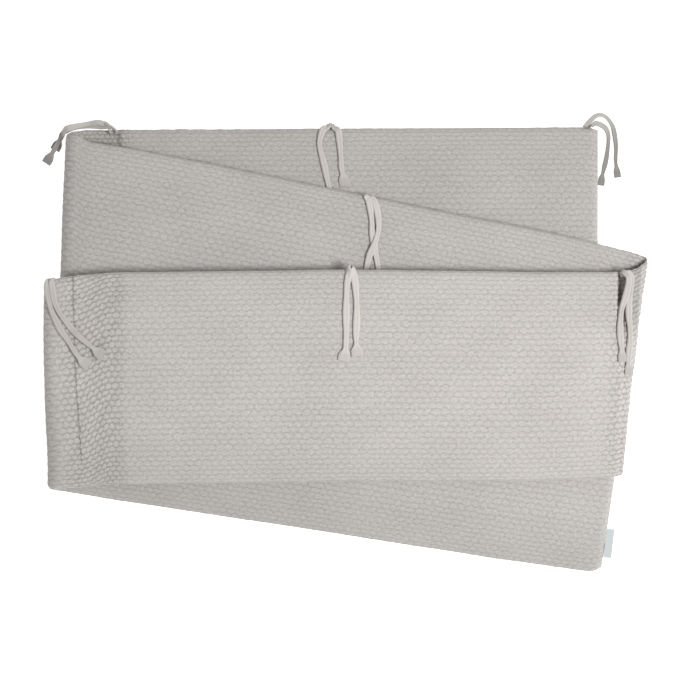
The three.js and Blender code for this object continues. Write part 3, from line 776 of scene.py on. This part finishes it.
# Sides are how far beside the seam's middle each strand leaves it, as shares of the lead's widths. The
# ceiling is a height between the layer that carries the tie and the next one. A row of a strand is x,
# y and how far the strand is lifted off what carries it, in metres.
TIES = [
    {"name": "tie_floor_left", "seam": {"run": "floor", "x": -0.3347},
     "sides": (-1, 1), "loop": 0.003, "ceiling": 0.06, "strands": [
        [(-0.3427, 0.3192, 0.02), (-0.3567, 0.3227, 0.022), (-0.3717, 0.3207, 0.021),
         (-0.3867, 0.3162, 0.017), (-0.4017, 0.3112, 0.011), (-0.4127, 0.3042, 0.006),
         (-0.4207, 0.2932, 0.004), (-0.4277, 0.2802, 0.0034), (-0.4377, 0.2652, 0.001)],
        [(-0.3377, 0.3162, 0.015), (-0.3537, 0.3177, 0.01), (-0.3757, 0.3177, 0.006),
         (-0.3957, 0.3152, 0.003), (-0.4127, 0.3102, 0.001), (-0.4187, 0.2972, 0.0006),
         (-0.4247, 0.2852, 0.0006)],
    ]},
    {"name": "tie_floor_middle", "seam": {"run": "floor", "x": -0.0127},
     "sides": (-1, 1), "loop": 0.0055, "ceiling": 0.0204, "strands": [
        [(-0.0247, 0.3122, 0.0015), (-0.0297, 0.2962, 0.0005), (-0.0287, 0.2832, 0.0005),
         (-0.0237, 0.2642, 0.0005), (-0.0187, 0.2402, 0.0005), (-0.0157, 0.2262, 0.0004),
         (-0.0127, 0.2122, 0.0004), (-0.0097, 0.1982, 0.0004)],
        [(-0.0027, 0.3112, 0.0015), (-0.0007, 0.2992, 0.0005), (0.0013, 0.2762, 0.0005),
         (0.0023, 0.2572, 0.0005), (0.0053, 0.2432, 0.0005), (0.0083, 0.2302, 0.0005)],
    ]},
    {"name": "tie_floor_right", "seam": {"run": "floor", "x": 0.3683},
     "sides": (-1, 1), "loop": 0.004, "ceiling": 0.025, "strands": [
        [(0.3743, 0.3302, 0.02), (0.3823, 0.3342, 0.02), (0.3903, 0.3332, 0.018),
         (0.3973, 0.3282, 0.015), (0.4043, 0.3192, 0.011), (0.4083, 0.3072, 0.007),
         (0.4113, 0.2902, 0.0025), (0.4113, 0.2692, 0.0006), (0.4128, 0.2572, 0.0005),
         (0.4143, 0.2442, 0.0005)],
        [(0.3773, 0.3222, 0.018), (0.3853, 0.3202, 0.017), (0.3933, 0.3152, 0.014),
         (0.3983, 0.3062, 0.009), (0.3993, 0.2922, 0.004), (0.3973, 0.2732, 0.0014),
         (0.3938, 0.2572, 0.0006), (0.3908, 0.2442, 0.0005), (0.3893, 0.2322, 0.0005)],
    ]},
    {"name": "tie_second_middle", "seam": {"run": "second", "x": 0.0458},
     "sides": (-1, 1), "loop": 0.001, "ceiling": 0.05, "strands": [
        [(0.0423, 0.2052, 0.0006), (0.0463, 0.1792, 0.0005), (0.0473, 0.1582, 0.0005),
         (0.0503, 0.1412, 0.0005), (0.0533, 0.1222, 0.0005), (0.0563, 0.1062, 0.0005),
         (0.0603, 0.0882, 0.0005), (0.0633, 0.0722, 0.0005)],
        [(0.0503, 0.2052, 0.0006), (0.0553, 0.1862, 0.0005), (0.0563, 0.1632, 0.0015),
         (0.0503, 0.1412, 0.003), (0.0433, 0.1252, 0.0015), (0.0383, 0.1042, 0.0005),
         (0.0353, 0.0882, 0.0005), (0.0333, 0.0722, 0.0005)],
    ]},
    {"name": "tie_top_middle", "seam": {"run": "top", "x": 0.0168},
     "sides": (-1, 1), "loop": 0.0035, "ceiling": 0.12, "strands": [
        [(0.0133, 0.0982, 0.0006), (0.0103, 0.0802, 0.0005), (0.0093, 0.0472, 0.0005),
         (0.0093, 0.0142, 0.0005), (0.0083, -0.0098, 0.0005), (0.0053, -0.0278, 0.0005)],
        [(0.0203, 0.0982, 0.0006), (0.0233, 0.0702, 0.0005), (0.0243, 0.0372, 0.0005),
         (0.0233, 0.0032, 0.0005), (0.0253, -0.0208, 0.0005)],
    ]},
    {"name": "tie_top_left", "seam": {"fold": "top", "angle": 0.5},
     "sides": (-1, 1), "loop": 0.0025, "ceiling": 0.12, "strands": [
        [(-0.4167, 0.0842, 0.0015), (-0.4177, 0.0742, 0.0012), (-0.4157, 0.0602, 0.0006),
         (-0.4117, 0.0452, 0.0005), (-0.4057, 0.0312, 0.0005), (-0.3977, 0.0152, 0.0005),
         (-0.3887, 0.0022, 0.0005), (-0.3737, -0.0208, 0.003), (-0.3597, -0.0348, 0.0005)],
        [(-0.4107, 0.0862, 0.0015), (-0.4097, 0.0722, 0.001), (-0.4067, 0.0562, 0.0005),
         (-0.4007, 0.0422, 0.0005), (-0.3927, 0.0312, 0.0005), (-0.3827, 0.0182, 0.0008),
         (-0.3717, 0.0072, 0.0035), (-0.3527, -0.0088, 0.005), (-0.3377, -0.0208, 0.003)],
    ]},
    {"name": "tie_top_right", "seam": {"run": "top", "x": 0.4083},
     "sides": (-0.3, 1.2), "loop": 0.003, "ceiling": 0.12, "strands": [
        [(0.407, 0.1002, 0.004), (0.4135, 0.0942, 0.005), (0.415, 0.0862, 0.005),
         (0.4125, 0.0722, 0.0045), (0.4085, 0.0602, 0.0035), (0.4048, 0.0482, 0.0025),
         (0.4022, 0.0368, 0.0015), (0.4008, 0.0242, 0.0008), (0.4007, 0.0108, 0.0006),
         (0.4015, -0.0048, 0.0005), (0.403, -0.0178, 0.0005), (0.4036, -0.0288, 0.0005)],
        [(0.413, 0.1012, 0.002), (0.4195, 0.0932, 0.0015), (0.42, 0.0842, 0.001),
         (0.418, 0.0712, 0.0008), (0.4156, 0.0572, 0.0006), (0.4151, 0.0372, 0.0006),
         (0.4162, 0.0182, 0.0005), (0.4164, 0.0022, 0.0005), (0.415, -0.0128, 0.0005),
         (0.4139, -0.0258, 0.0005), (0.4144, -0.0398, 0.0005), (0.4144, -0.0478, 0.0005)],
    ]},
]
SEAM_AT = ROWS * STEPS_ACROSS
print("ties:", len(TIES))

# %% Where a tie leaves the seam
SEAM_STEPS = 2
PROBES = 8
ground = tree_of(cover)


def seam_place(seam):
    """A point on the top seam, the direction along it to the right, and the one out from it."""
    if "fold" in seam:
        first, last = spans["fold_" + seam["fold"]]
        place = form[first + round((last - first - 1) * seam["angle"] / math.pi), SEAM_AT]
        return place, np.array([1.0, 0, 0]), np.array([0, 1.0, 0])
    first, last = spans[seam["run"]]
    edge = form[first:last, SEAM_AT]
    nearest = int(np.argmin(np.abs(edge[:, 0] - seam["x"])))
    k = min(max(nearest, SEAM_STEPS), len(edge) - 1 - SEAM_STEPS)
    along = edge[k + SEAM_STEPS] - edge[k - SEAM_STEPS]
    along = unit(np.array([along[0], along[1], 0]) * np.sign(along[0]))
    return edge[k], along, np.array([-along[1], along[0], 0])


def ground_height(x, y, ceiling):
    hit = ground.ray_cast(Vector((x, y, ceiling)), Vector((0, 0, -1)))[0]
    return hit.z if hit else 0.0


def ground_under(x, y, width, ceiling):
    """The highest place under a round spot as wide as a tape."""
    turns = [TURN * k / PROBES for k in range(PROBES)]
    around = [(0, 0)] + [(math.cos(turn), math.sin(turn)) for turn in turns]
    return max(ground_height(x + dx * width / 2, y + dy * width / 2, ceiling) for dx, dy in around)


# %% The route of one strand
SPOT_SHARE = 0.8
EASING_ROUNDS = 4


def curve_through(points, steps):
    """A smooth curve through the points, each stretch in equal steps."""
    p = np.vstack([2 * points[0] - points[1], points, 2 * points[-1] - points[-2]])
    t = np.linspace(0, 1, steps, endpoint=False)[:, None]
    stretches = []
    for a, b, c, d in zip(p, p[1:], p[2:], p[3:]):
        bend, twist = 2 * a - 5 * b + 4 * c - d, 3 * b - a - 3 * c + d
        stretches.append(0.5 * (2 * b + (c - a) * t + bend * t**2 + twist * t**3))
    return np.vstack([*stretches, points[-1]])


def past_edge(loop, past):
    """How far out past the pad's edge a point of the lead stands. A tight tie presses into the edge."""
    if loop <= TIGHT_LOOP:
        return TIGHT_PAST
    return past or loop


def strand_route(tie, rows, side):
    """A strand's middle line, from the seam to its free end, above what carries it."""
    place, along, out = seam_place(tie["seam"])
    lead = []
    for step in LEAD:
        outwards_by = out * past_edge(tie["loop"], step["past"])
        lead.append(place + along * side * step["beside"] + outwards_by + np.array([0, 0, step["up"]]))
    lying = []
    for x, y, lift in rows:
        lying.append((x, y, ground_under(x, y, TAPE_WIDTH, tie["ceiling"]) + TAPE_THICKNESS / 2 + lift))
    route = curve_through(np.vstack([lead, lying]), STEPS_BETWEEN)
    start = (len(LEAD) - 1) * STEPS_BETWEEN
    for k in range(start // 2, len(route)):
        low = ground_under(route[k, 0], route[k, 1], TAPE_WIDTH * SPOT_SHARE, tie["ceiling"])
        route[k, 2] = max(route[k, 2], low + TAPE_THICKNESS / 2 + CLEARANCE)
    for _ in range(EASING_ROUNDS):
        eased_up = route[:, 2].copy()
        eased_up[1:-1] = (route[:-2, 2] + 2 * route[1:-1, 2] + route[2:, 2]) / 4
        route[start:, 2] = np.maximum(route[start:, 2], eased_up[start:])
    return route


# %% [markdown]
# The section of a strand is a closed outline, in half widths and half thicknesses. It goes over from
# the curled tape to the flat cut end along the last 2 cm. LEVELLING keeps a strand from turning on
# its edge where its route bends.

# %% A strand's section
SECTION = np.array([
    (-1.0, 0.0), (-0.88, 0.55), (-0.55, 0.95), (-0.25, 0.86), (-0.08, 0.62), (0.2, 1.0), (0.6, 1.0),
    (0.9, 0.55), (1.0, 0.0), (0.82, -0.75), (0.4, -0.95), (0.0, -0.85), (-0.4, -0.95), (-0.82, -0.75),
])
FLAT_SECTION = np.array([
    (-1.0, 0.05), (-0.9, 0.8), (-0.55, 0.9), (-0.2, 1.0), (0.0, 0.9), (0.2, 1.0), (0.55, 0.9),
    (0.9, 0.8), (1.0, 0.05), (0.9, -0.8), (0.4, -0.9), (0.0, -0.9), (-0.4, -0.9), (-0.9, -0.8),
])
LEVELLING = 0.75


def strand_rings(route, sizes, phase):
    """Rings of points round a strand, and how far along the strand each one is."""
    gone = np.concatenate([[0], np.cumsum(np.linalg.norm(np.diff(route, axis=0), axis=1))])
    tangents = unit(np.gradient(route, axis=0))
    across = unit(np.cross(route[1] - route[0], [0, 0, 1.0]))
    rings = []
    for point, tangent, far in zip(route, tangents, gone):
        across = across * [1, 1, LEVELLING]
        across = unit(across - tangent * np.dot(across, tangent))
        normal = np.cross(across, tangent)
        normal = normal * (1 if normal[2] >= 0 else -1)
        left = gone[-1] - far
        spread = smooth((FAN_LENGTH - left) / (FAN_LENGTH - HEM_LENGTH))
        neck = 1 - NECK * math.exp(-(((left - FAN_LENGTH) / NECK_LENGTH) ** 2))
        waves = 1 + WIDTH_WAVES * math.sin(TURN * far / WAVE_LENGTH + phase)
        full = mix(PINCH_WIDTH, sizes["width"] * waves, smooth(far / PINCH_LENGTH))
        width = mix(full * neck, sizes["fan"], spread) / 2
        thick = mix(TAPE_THICKNESS, FAN_THICKNESS, spread) / 2
        section = mix(SECTION, FLAT_SECTION, spread)
        rings.append(point + across * (section[:, :1] * width) + normal * (section[:, 1:] * thick))
    return np.array(rings), gone


# %% The faces of one strand


def strand_faces(rings, gone, base):
    """Faces round a strand and over its two ends, and the tape's map: round it, and from its free end."""
    size = len(SECTION)
    faces, places = [], []
    for r in range(len(rings) - 1):
        here, onwards = base + r * size, base + (r + 1) * size
        left, left_onwards = gone[-1] - gone[r], gone[-1] - gone[r + 1]
        for k in range(size):
            k_next = (k + 1) % size
            faces.append((here + k, here + k_next, onwards + k_next, onwards + k))
            places.extend([(k / size, left), ((k + 1) / size, left)])
            places.extend([((k + 1) / size, left_onwards), (k / size, left_onwards)])
    ends = [(base, range(size - 1, -1, -1), gone[-1]), (base + (len(rings) - 1) * size, range(size), 0.0)]
    for end, order, left in ends:
        faces.append(tuple(end + k for k in order))
        places.extend([(k / size, left) for k in order])
    return faces, places


# %% Build the ties
SMOOTH_UNDER = 60


def tie_piece(tie):
    """One tie with its two strands, as a piece that replaces its solid. Gives its length too."""
    sizes = TIE_SIZES[tie["name"]]
    corners, faces, places = [], [], []
    length = 0
    for rows, side in zip(tie["strands"], tie["sides"]):
        rings, gone = strand_rings(strand_route(tie, rows, side), sizes, WAVE_START + WAVE_SHIFT * side)
        strand, strand_places = strand_faces(rings, gone, len(corners))
        corners.extend(rings.reshape(-1, 3).tolist())
        faces.extend(strand)
        places.extend(strand_places)
        length += gone[-1]
    mesh = bpy.data.meshes.new(tie["name"])
    mesh.from_pydata(corners, [], faces)
    tape_map = mesh.uv_layers.new(name="tape")
    tape_map.data.foreach_set("uv", np.array(places, dtype=np.float32).ravel())
    tone = mesh.attributes.new("tone", "FLOAT", "POINT")
    tone.data.foreach_set("value", np.full(len(corners), sizes["tone"], dtype=np.float32))
    piece = bpy.data.objects.new(tie["name"].replace("tie_", "tape_"), mesh)
    scene.collection.objects.link(piece)
    bpy.ops.object.select_all(action="DESELECT")
    piece.select_set(True)
    bpy.context.view_layer.objects.active = piece
    bpy.ops.object.mode_set(mode="EDIT")
    bpy.ops.mesh.select_all(action="SELECT")
    bpy.ops.mesh.normals_make_consistent(inside=False)
    bpy.ops.object.mode_set(mode="OBJECT")
    bpy.ops.object.shade_smooth_by_angle(angle=math.radians(SMOOTH_UNDER))
    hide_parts(tie["name"])
    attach(piece, "root")
    return piece, length


tapes = []
for tie in TIES:
    piece, length = tie_piece(tie)
    tapes.append(piece)
    print(piece.name, "length:", round(length * 1000), "mm")

# %% [markdown]
# ## Materials
# Each material is a cloth, so it is matt, with no metal and a faint sheen from its loose fibres.

# %% Colour and node helpers
CLOTH_SPECULAR = 0.25
SHEEN_ROUGHNESS = 0.5


def linear(hex_colour):
    """An sRGB colour such as b9b1a8 as linear values for a shader."""
    values = [int(hex_colour[k : k + 2], 16) / 255 for k in (0, 2, 4)]
    return tuple(v / 12.92 if v <= 0.04045 else ((v + 0.055) / 1.055) ** 2.4 for v in values) + (1.0,)


def add(tree, kind, settings=None, **sockets):
    """Adds a node. A socket is named, or numbered as in_0, and takes a value, an output or a node."""
    made = tree.nodes.new(kind)
    for name, value in (settings or {}).items():
        setattr(made, name, value)
    for name, value in sockets.items():
        socket = made.inputs[int(name[3:]) if name.startswith("in_") else name.replace("_", " ")]
        if isinstance(value, bpy.types.Node):
            value = value.outputs[0]
        if isinstance(value, bpy.types.NodeSocket):
            tree.links.new(value, socket)
        else:
            socket.default_value = value
    return made


def new_material(name):
    material = bpy.data.materials.new(name)
    material.use_nodes = True
    material.node_tree.nodes.clear()
    return material, material.node_tree


def finish_cloth(tree, colour, normal, roughness, sheen):
    """Ends a cloth's nodes in a shader with no metal and little shine."""
    shader = add(
        tree,
        "ShaderNodeBsdfPrincipled",
        Base_Color=colour,
        Roughness=roughness,
        Normal=normal,
        Specular_IOR_Level=CLOTH_SPECULAR,
        Sheen_Weight=sheen,
        Sheen_Roughness=SHEEN_ROUGHNESS,
    )
    add(tree, "ShaderNodeOutputMaterial", Surface=shader)


def lit_by_height(tree, low, high, low_light):
    """A factor that is low_light up to the height low, and rises to 1 at the height high."""
    place = add(tree, "ShaderNodeTexCoord").outputs["Object"]
    up = add(tree, "ShaderNodeSeparateXYZ", in_0=place).outputs[2]
    return add(tree, "ShaderNodeMapRange", Value=up, From_Min=low, From_Max=high, To_Min=low_light)


# %% [markdown]
# ### Cover jersey
# A cotton jersey knitted so that its surface stands up in scales. The eye sees matt greige cloth.
# Its colour has a painted highlight on each scale's crest, where the light catches its fibres, and
# painted shade in the furrows. One unit of the cover's own map is one scale, so the pattern sits on
# the relief. The map is bent a little by a noise first, because no two scales of the real knit are
# alike.

# %% Cover jersey: where a scale's crest is
# The scale of a noise says how many of its waves go to one scale of the knit.
WANDER_SCALE = 0.9
WANDER = (0.6, 0.75, 0)
SIDE_WAVES = 0.85
ROW_WAVES = 1.25
CREST_FROM = -1.5
CREST_TO = 0.2

jersey, tree = new_material("cotton_scale_jersey")
knit = add(tree, "ShaderNodeUVMap", {"uv_map": "knit"})
wander = add(tree, "ShaderNodeTexNoise", Vector=knit, Scale=WANDER_SCALE, Detail=2.0).outputs["Color"]
wander = add(tree, "ShaderNodeVectorMath", {"operation": "SUBTRACT"}, in_0=wander, in_1=(0.5, 0.5, 0.5))
wander = add(tree, "ShaderNodeVectorMath", {"operation": "MULTIPLY"}, in_0=wander, in_1=WANDER)
place = add(tree, "ShaderNodeVectorMath", {"operation": "ADD"}, in_0=knit, in_1=wander)
split = add(tree, "ShaderNodeSeparateXYZ", in_0=place)
row = add(tree, "ShaderNodeMath", {"operation": "ADD"}, in_0=split.outputs[1], in_1=0.5)
cell = split.outputs[0]
turns = [row]
for lean_to in (-0.5, 0.5):
    turns.append(
        add(tree, "ShaderNodeMath", {"operation": "MULTIPLY_ADD"}, in_0=row, in_1=lean_to, in_2=cell)
    )
angles = [add(tree, "ShaderNodeMath", {"operation": "MULTIPLY"}, in_0=turn, in_1=TURN) for turn in turns]
waves = [add(tree, "ShaderNodeMath", {"operation": "COSINE"}, in_0=angle) for angle in angles]
sides = add(tree, "ShaderNodeMath", {"operation": "ADD"}, in_0=waves[1], in_1=waves[2])
sides = add(tree, "ShaderNodeMath", {"operation": "MULTIPLY"}, in_0=sides, in_1=SIDE_WAVES)
heap = add(
    tree, "ShaderNodeMath", {"operation": "MULTIPLY_ADD"}, in_0=waves[0], in_1=ROW_WAVES, in_2=sides
)
crest = add(
    tree,
    "ShaderNodeMapRange",
    {"interpolation_type": "SMOOTHSTEP"},
    Value=heap,
    From_Min=CREST_FROM,
    From_Max=CREST_TO,
)
print("scale pattern:", len(tree.nodes), "nodes")

# %% Cover jersey: its colour, with painted shade in the furrows
# The real yarn is under 1 mm thick and wouldn't show, so it is drawn about 4 mm coarse. Large patches
# of the cloth differ a little too. The furrows get painted shade, more of it on loose cloth.
GREIGE = "cbc7c3"
FURROW = "95918e"
YARN_SCALE = 3.3
YARN_TONE = 3.6
PATCH_SCALE = 0.12
PATCH_TONE = 0.5
TONE_SHIFT = -2.05
FURROW_SHADE = 0.39
LOOSE_FURROW_SHADE = 0.38
DARKEST = -1.08
LIGHTEST = 0.62

yarn = add(tree, "ShaderNodeTexNoise", Vector=knit, Scale=YARN_SCALE, Detail=5.0, Roughness=0.8)
patch = add(tree, "ShaderNodeTexNoise", Vector=knit, Scale=PATCH_SCALE, Detail=2.0)
tone = add(
    tree, "ShaderNodeMath", {"operation": "MULTIPLY_ADD"}, in_0=patch, in_1=PATCH_TONE, in_2=TONE_SHIFT
)
tone = add(tree, "ShaderNodeMath", {"operation": "MULTIPLY_ADD"}, in_0=yarn, in_1=YARN_TONE, in_2=tone)
loose_here = add(tree, "ShaderNodeAttribute", {"attribute_name": "looseness"}).outputs["Fac"]
# Painted shade in the furrows between the scales, stronger where the cloth is loose.
depth = add(
    tree,
    "ShaderNodeMath",
    {"operation": "MULTIPLY_ADD"},
    in_0=loose_here,
    in_1=LOOSE_FURROW_SHADE,
    in_2=FURROW_SHADE,
)
off_crest = add(tree, "ShaderNodeMath", {"operation": "SUBTRACT"}, in_0=1.0, in_1=crest)
furrow_shade = add(tree, "ShaderNodeMath", {"operation": "MULTIPLY"}, in_0=off_crest, in_1=depth)
shade = add(tree, "ShaderNodeMath", {"operation": "SUBTRACT"}, in_0=tone, in_1=furrow_shade)
shade = add(tree, "ShaderNodeMapRange", Value=shade, From_Min=DARKEST, From_Max=LIGHTEST)
jersey_colour = add(
    tree, "ShaderNodeMix", {"data_type": "RGBA"}, Factor=shade, in_6=linear(FURROW), in_7=linear(GREIGE)
)
print("colour from", FURROW, "to", GREIGE)

# %% [markdown]
# The light falls off towards the lower layers of the pile and into the tuck, more than one soft light
# in a white room shows. So painted shade darkens the cloth a little lower in the pile, in the tuck,
# and along the crease, which is a dark line that wanders about 7 mm.

# %% Cover jersey: its relief, and painted shade low in the pile, in the tuck and along the crease
CREST_HEIGHT = 0.0002
LOOSE_CREST = 0.0007
YARN_HEIGHT = 0.00045
LOW_LIGHT = 0.85
LIT_FROM = 0.012
LIT_TO = 0.075
TUCK_LIGHT = 0.74
CREASE_LIGHT = 0.58
CREASE_WIDTH = 0.0019
CREASE_WANDER = 0.007
STRAY_SCALE = 1.1

rise = add(tree, "ShaderNodeMapRange", Value=loose_here, To_Min=CREST_HEIGHT, To_Max=LOOSE_CREST)
bump = add(tree, "ShaderNodeBump", Strength=0.8, Distance=rise, Height=crest)
bump = add(tree, "ShaderNodeBump", Strength=1.0, Distance=YARN_HEIGHT, Height=yarn, Normal=bump)
# Painted shade: darker lower in the pile, in the tuck, and along the crease.
lit = lit_by_height(tree, LIT_FROM, LIT_TO, LOW_LIGHT)
tuck = add(tree, "ShaderNodeAttribute", {"attribute_name": "in_tuck"}).outputs["Fac"]
tuck = add(tree, "ShaderNodeMapRange", Value=tuck, To_Min=1.0, To_Max=TUCK_LIGHT)
lit = add(tree, "ShaderNodeMath", {"operation": "MULTIPLY"}, in_0=lit, in_1=tuck)
past = add(tree, "ShaderNodeAttribute", {"attribute_name": "past_crease"}).outputs["Fac"]
past = add(tree, "ShaderNodeMath", {"operation": "SUBTRACT"}, in_0=past, in_1=CREASE_WANDER / 2)
stray = add(tree, "ShaderNodeTexNoise", Vector=knit, Scale=STRAY_SCALE, Detail=2.0)
off_line = add(
    tree, "ShaderNodeMath", {"operation": "MULTIPLY_ADD"}, in_0=stray, in_1=CREASE_WANDER, in_2=past
)
off_line = add(tree, "ShaderNodeMath", {"operation": "ABSOLUTE"}, in_0=off_line)
clear = add(
    tree,
    "ShaderNodeMapRange",
    {"interpolation_type": "SMOOTHSTEP"},
    Value=off_line,
    From_Max=CREASE_WIDTH,
    To_Min=CREASE_LIGHT,
)
lit = add(tree, "ShaderNodeMath", {"operation": "MULTIPLY"}, in_0=lit, in_1=clear)
shaded = add(
    tree, "ShaderNodeVectorMath", {"operation": "SCALE"}, in_0=jersey_colour.outputs[2], Scale=lit
)
finish_cloth(tree, shaded, bump, roughness=0.92, sheen=0.15)
cover.data.materials.append(jersey)
print("cover jersey:", len(tree.nodes), "nodes")

# %% [markdown]
# ### Tie jersey
# The same cotton, knitted plain and smooth. It is a shade lighter and warmer than the cover. Fine
# ribs run along the tape about 1 mm apart, and its cut end is speckled by loose loops.

# %% Tie jersey: ribs, fibres and colour
TIE_GREIGE = "cdc9c4"
TIE_FIBRE_AND_SHADE = "b8b3ad"
RIBS_ROUND_TAPE = 18
RIB_SHARE = 0.12
RIB_HEIGHT = 0.0002
# Fibres go 40 times round the tape and 900 times to a metre of it.
FIBRE_STRETCH = (40, 900, 1)

tape_jersey, tree = new_material("plain_cotton_jersey")
tape_place = add(tree, "ShaderNodeUVMap", {"uv_map": "tape"})
split = add(tree, "ShaderNodeSeparateXYZ", in_0=tape_place)
ribs = add(
    tree, "ShaderNodeMath", {"operation": "MULTIPLY"}, in_0=split.outputs[0], in_1=TURN * RIBS_ROUND_TAPE
)
ribs = add(tree, "ShaderNodeMath", {"operation": "SINE"}, in_0=ribs)
stretched = add(
    tree, "ShaderNodeVectorMath", {"operation": "MULTIPLY"}, in_0=tape_place, in_1=FIBRE_STRETCH
)
fibre = add(tree, "ShaderNodeTexNoise", Vector=stretched, Scale=1.0, Detail=3.0)
height = add(
    tree, "ShaderNodeMath", {"operation": "MULTIPLY_ADD"}, in_0=ribs, in_1=RIB_SHARE, in_2=fibre
)
# The darker colour is the fibres' own darker strands, with painted shade between the ribs.
tape_colour = add(
    tree,
    "ShaderNodeMix",
    {"data_type": "RGBA"},
    Factor=height,
    in_6=linear(TIE_FIBRE_AND_SHADE),
    in_7=linear(TIE_GREIGE),
)
bump = add(tree, "ShaderNodeBump", Strength=0.8, Distance=RIB_HEIGHT, Height=height)
print("ribs round a tape:", RIBS_ROUND_TAPE)

# %% Tie jersey: the speckled hem and the light
HEM = 0.009
HEM_EASE = 0.006
# A speck is about 2.4 mm long, with 420 of them to a metre.
SPECK_SCALE = 420.0
SPECK_SHARE = 0.5
SPECK_LOW = 0.62
TIE_LOW_LIGHT = 0.62
TIE_LIT_FROM = 0.005
TIE_LIT_TO = 0.024

speck = add(tree, "ShaderNodeTexNoise", Vector=tape_place, Scale=SPECK_SCALE, Detail=2.0)
speck = add(
    tree, "ShaderNodeMath", {"operation": "MULTIPLY_ADD"}, in_0=speck, in_1=SPECK_SHARE, in_2=SPECK_LOW
)
past_hem = add(
    tree, "ShaderNodeMapRange", Value=split.outputs[1], From_Min=HEM, From_Max=HEM + HEM_EASE
)
hem = add(tree, "ShaderNodeMix", Factor=past_hem, in_2=speck, in_3=1.0)
# Painted shade low down on a tie, and each tie's tone as painted light and shade for its place.
lit = lit_by_height(tree, TIE_LIT_FROM, TIE_LIT_TO, TIE_LOW_LIGHT)
tone = add(tree, "ShaderNodeAttribute", {"attribute_name": "tone"}).outputs["Fac"]
lit = add(tree, "ShaderNodeMath", {"operation": "MULTIPLY"}, in_0=lit, in_1=tone)
lit = add(tree, "ShaderNodeMath", {"operation": "MULTIPLY"}, in_0=hem, in_1=lit)
shaded = add(
    tree, "ShaderNodeVectorMath", {"operation": "SCALE"}, in_0=tape_colour.outputs[2], Scale=lit
)
finish_cloth(tree, shaded, bump, roughness=0.9, sheen=0.15)
for piece in tapes:
    piece.data.materials.append(tape_jersey)
print("tie jersey on", len(tapes), "ties")

# %% [markdown]
# ### Label
# A plain tab of white woven satin, folded double and caught in the end seam. The solid has its shape
# already, so it only gets its cloth. The threads of satin lie side by side and give it a soft shine.
# They are drawn 0.8 mm apart, which is coarser than real, so that they show.

# %% Label satin
SATIN = "b6bcbb"
SATIN_GAP = "a6adad"
THREAD_HEIGHT = 0.0001
THREAD_SPACING = 0.000827
# A wave pattern turns through 20 radians to a metre at a scale of 1.
WAVE_RADIANS = 20

satin, tree = new_material("white_woven_satin")
place = add(tree, "ShaderNodeTexCoord").outputs["Object"]
thread = add(
    tree,
    "ShaderNodeTexWave",
    {"bands_direction": "Y"},
    Vector=place,
    Scale=TURN / (WAVE_RADIANS * THREAD_SPACING),
    Distortion=0.6,
)
satin_colour = add(
    tree, "ShaderNodeMix", {"data_type": "RGBA"}, Factor=thread, in_6=linear(SATIN_GAP), in_7=linear(SATIN)
)
bump = add(tree, "ShaderNodeBump", Strength=0.5, Distance=THREAD_HEIGHT, Height=thread)
finish_cloth(tree, satin_colour.outputs[2], bump, roughness=0.45, sheen=0.0)
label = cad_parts["label_tab"]
label.data.materials.clear()
label.data.materials.append(satin)
print("satin on", label.name)

# %% [markdown]
# ## Floor and light
# The strip lies on a plain white floor. A big soft light on the right and a little towards the low
# edge of the picture makes the edges that face right bright and those that face left dark. The floor
# glows a little by itself, so that it stays white up to the picture's edges.

# %% Floor
FLOOR_SIZE = 12.0
FLOOR_DROP = 0.0005
FLOOR_GLOW = 0.7
PAPER = "f7f6f4"
bpy.ops.object.select_all(action="DESELECT")
bpy.ops.mesh.primitive_plane_add(size=FLOOR_SIZE, location=(0, 0, -FLOOR_DROP))
floor = bpy.context.active_object
floor.name = "studio_floor"
paper, tree = new_material("white_paper")
finish_cloth(tree, linear(PAPER), (0, 0, 0), roughness=0.9, sheen=0.0)
tree.nodes["Principled BSDF"].inputs["Emission Color"].default_value = (1, 1, 1, 1)
tree.nodes["Principled BSDF"].inputs["Emission Strength"].default_value = FLOOR_GLOW
floor.data.materials.append(paper)
print("floor:", FLOOR_SIZE, "m wide")

# %% Light
KEY_PLACE = (1.5, -0.45, 2.9)
KEY_SIZE = 1.1
KEY_POWER = 99.0
SKY_STRENGTH = 0.42


def soft_light(name, place, size, power):
    bpy.ops.object.light_add(type="AREA", location=place)
    light = bpy.context.active_object
    light.name = name
    light.data.shape = "SQUARE"
    light.data.size = size
    light.data.energy = power
    light.rotation_euler = (-Vector(place)).to_track_quat("-Z", "Y").to_euler()
    return light


key = soft_light("key_light", KEY_PLACE, KEY_SIZE, KEY_POWER)
world = bpy.data.worlds.new("studio")
scene.world = world
world.use_nodes = True
world.node_tree.nodes["Background"].inputs["Color"].default_value = (1, 1, 1, 1)
world.node_tree.nodes["Background"].inputs["Strength"].default_value = SKY_STRENGTH
scene.view_settings.view_transform = "Standard"
scene.view_settings.look = "None"
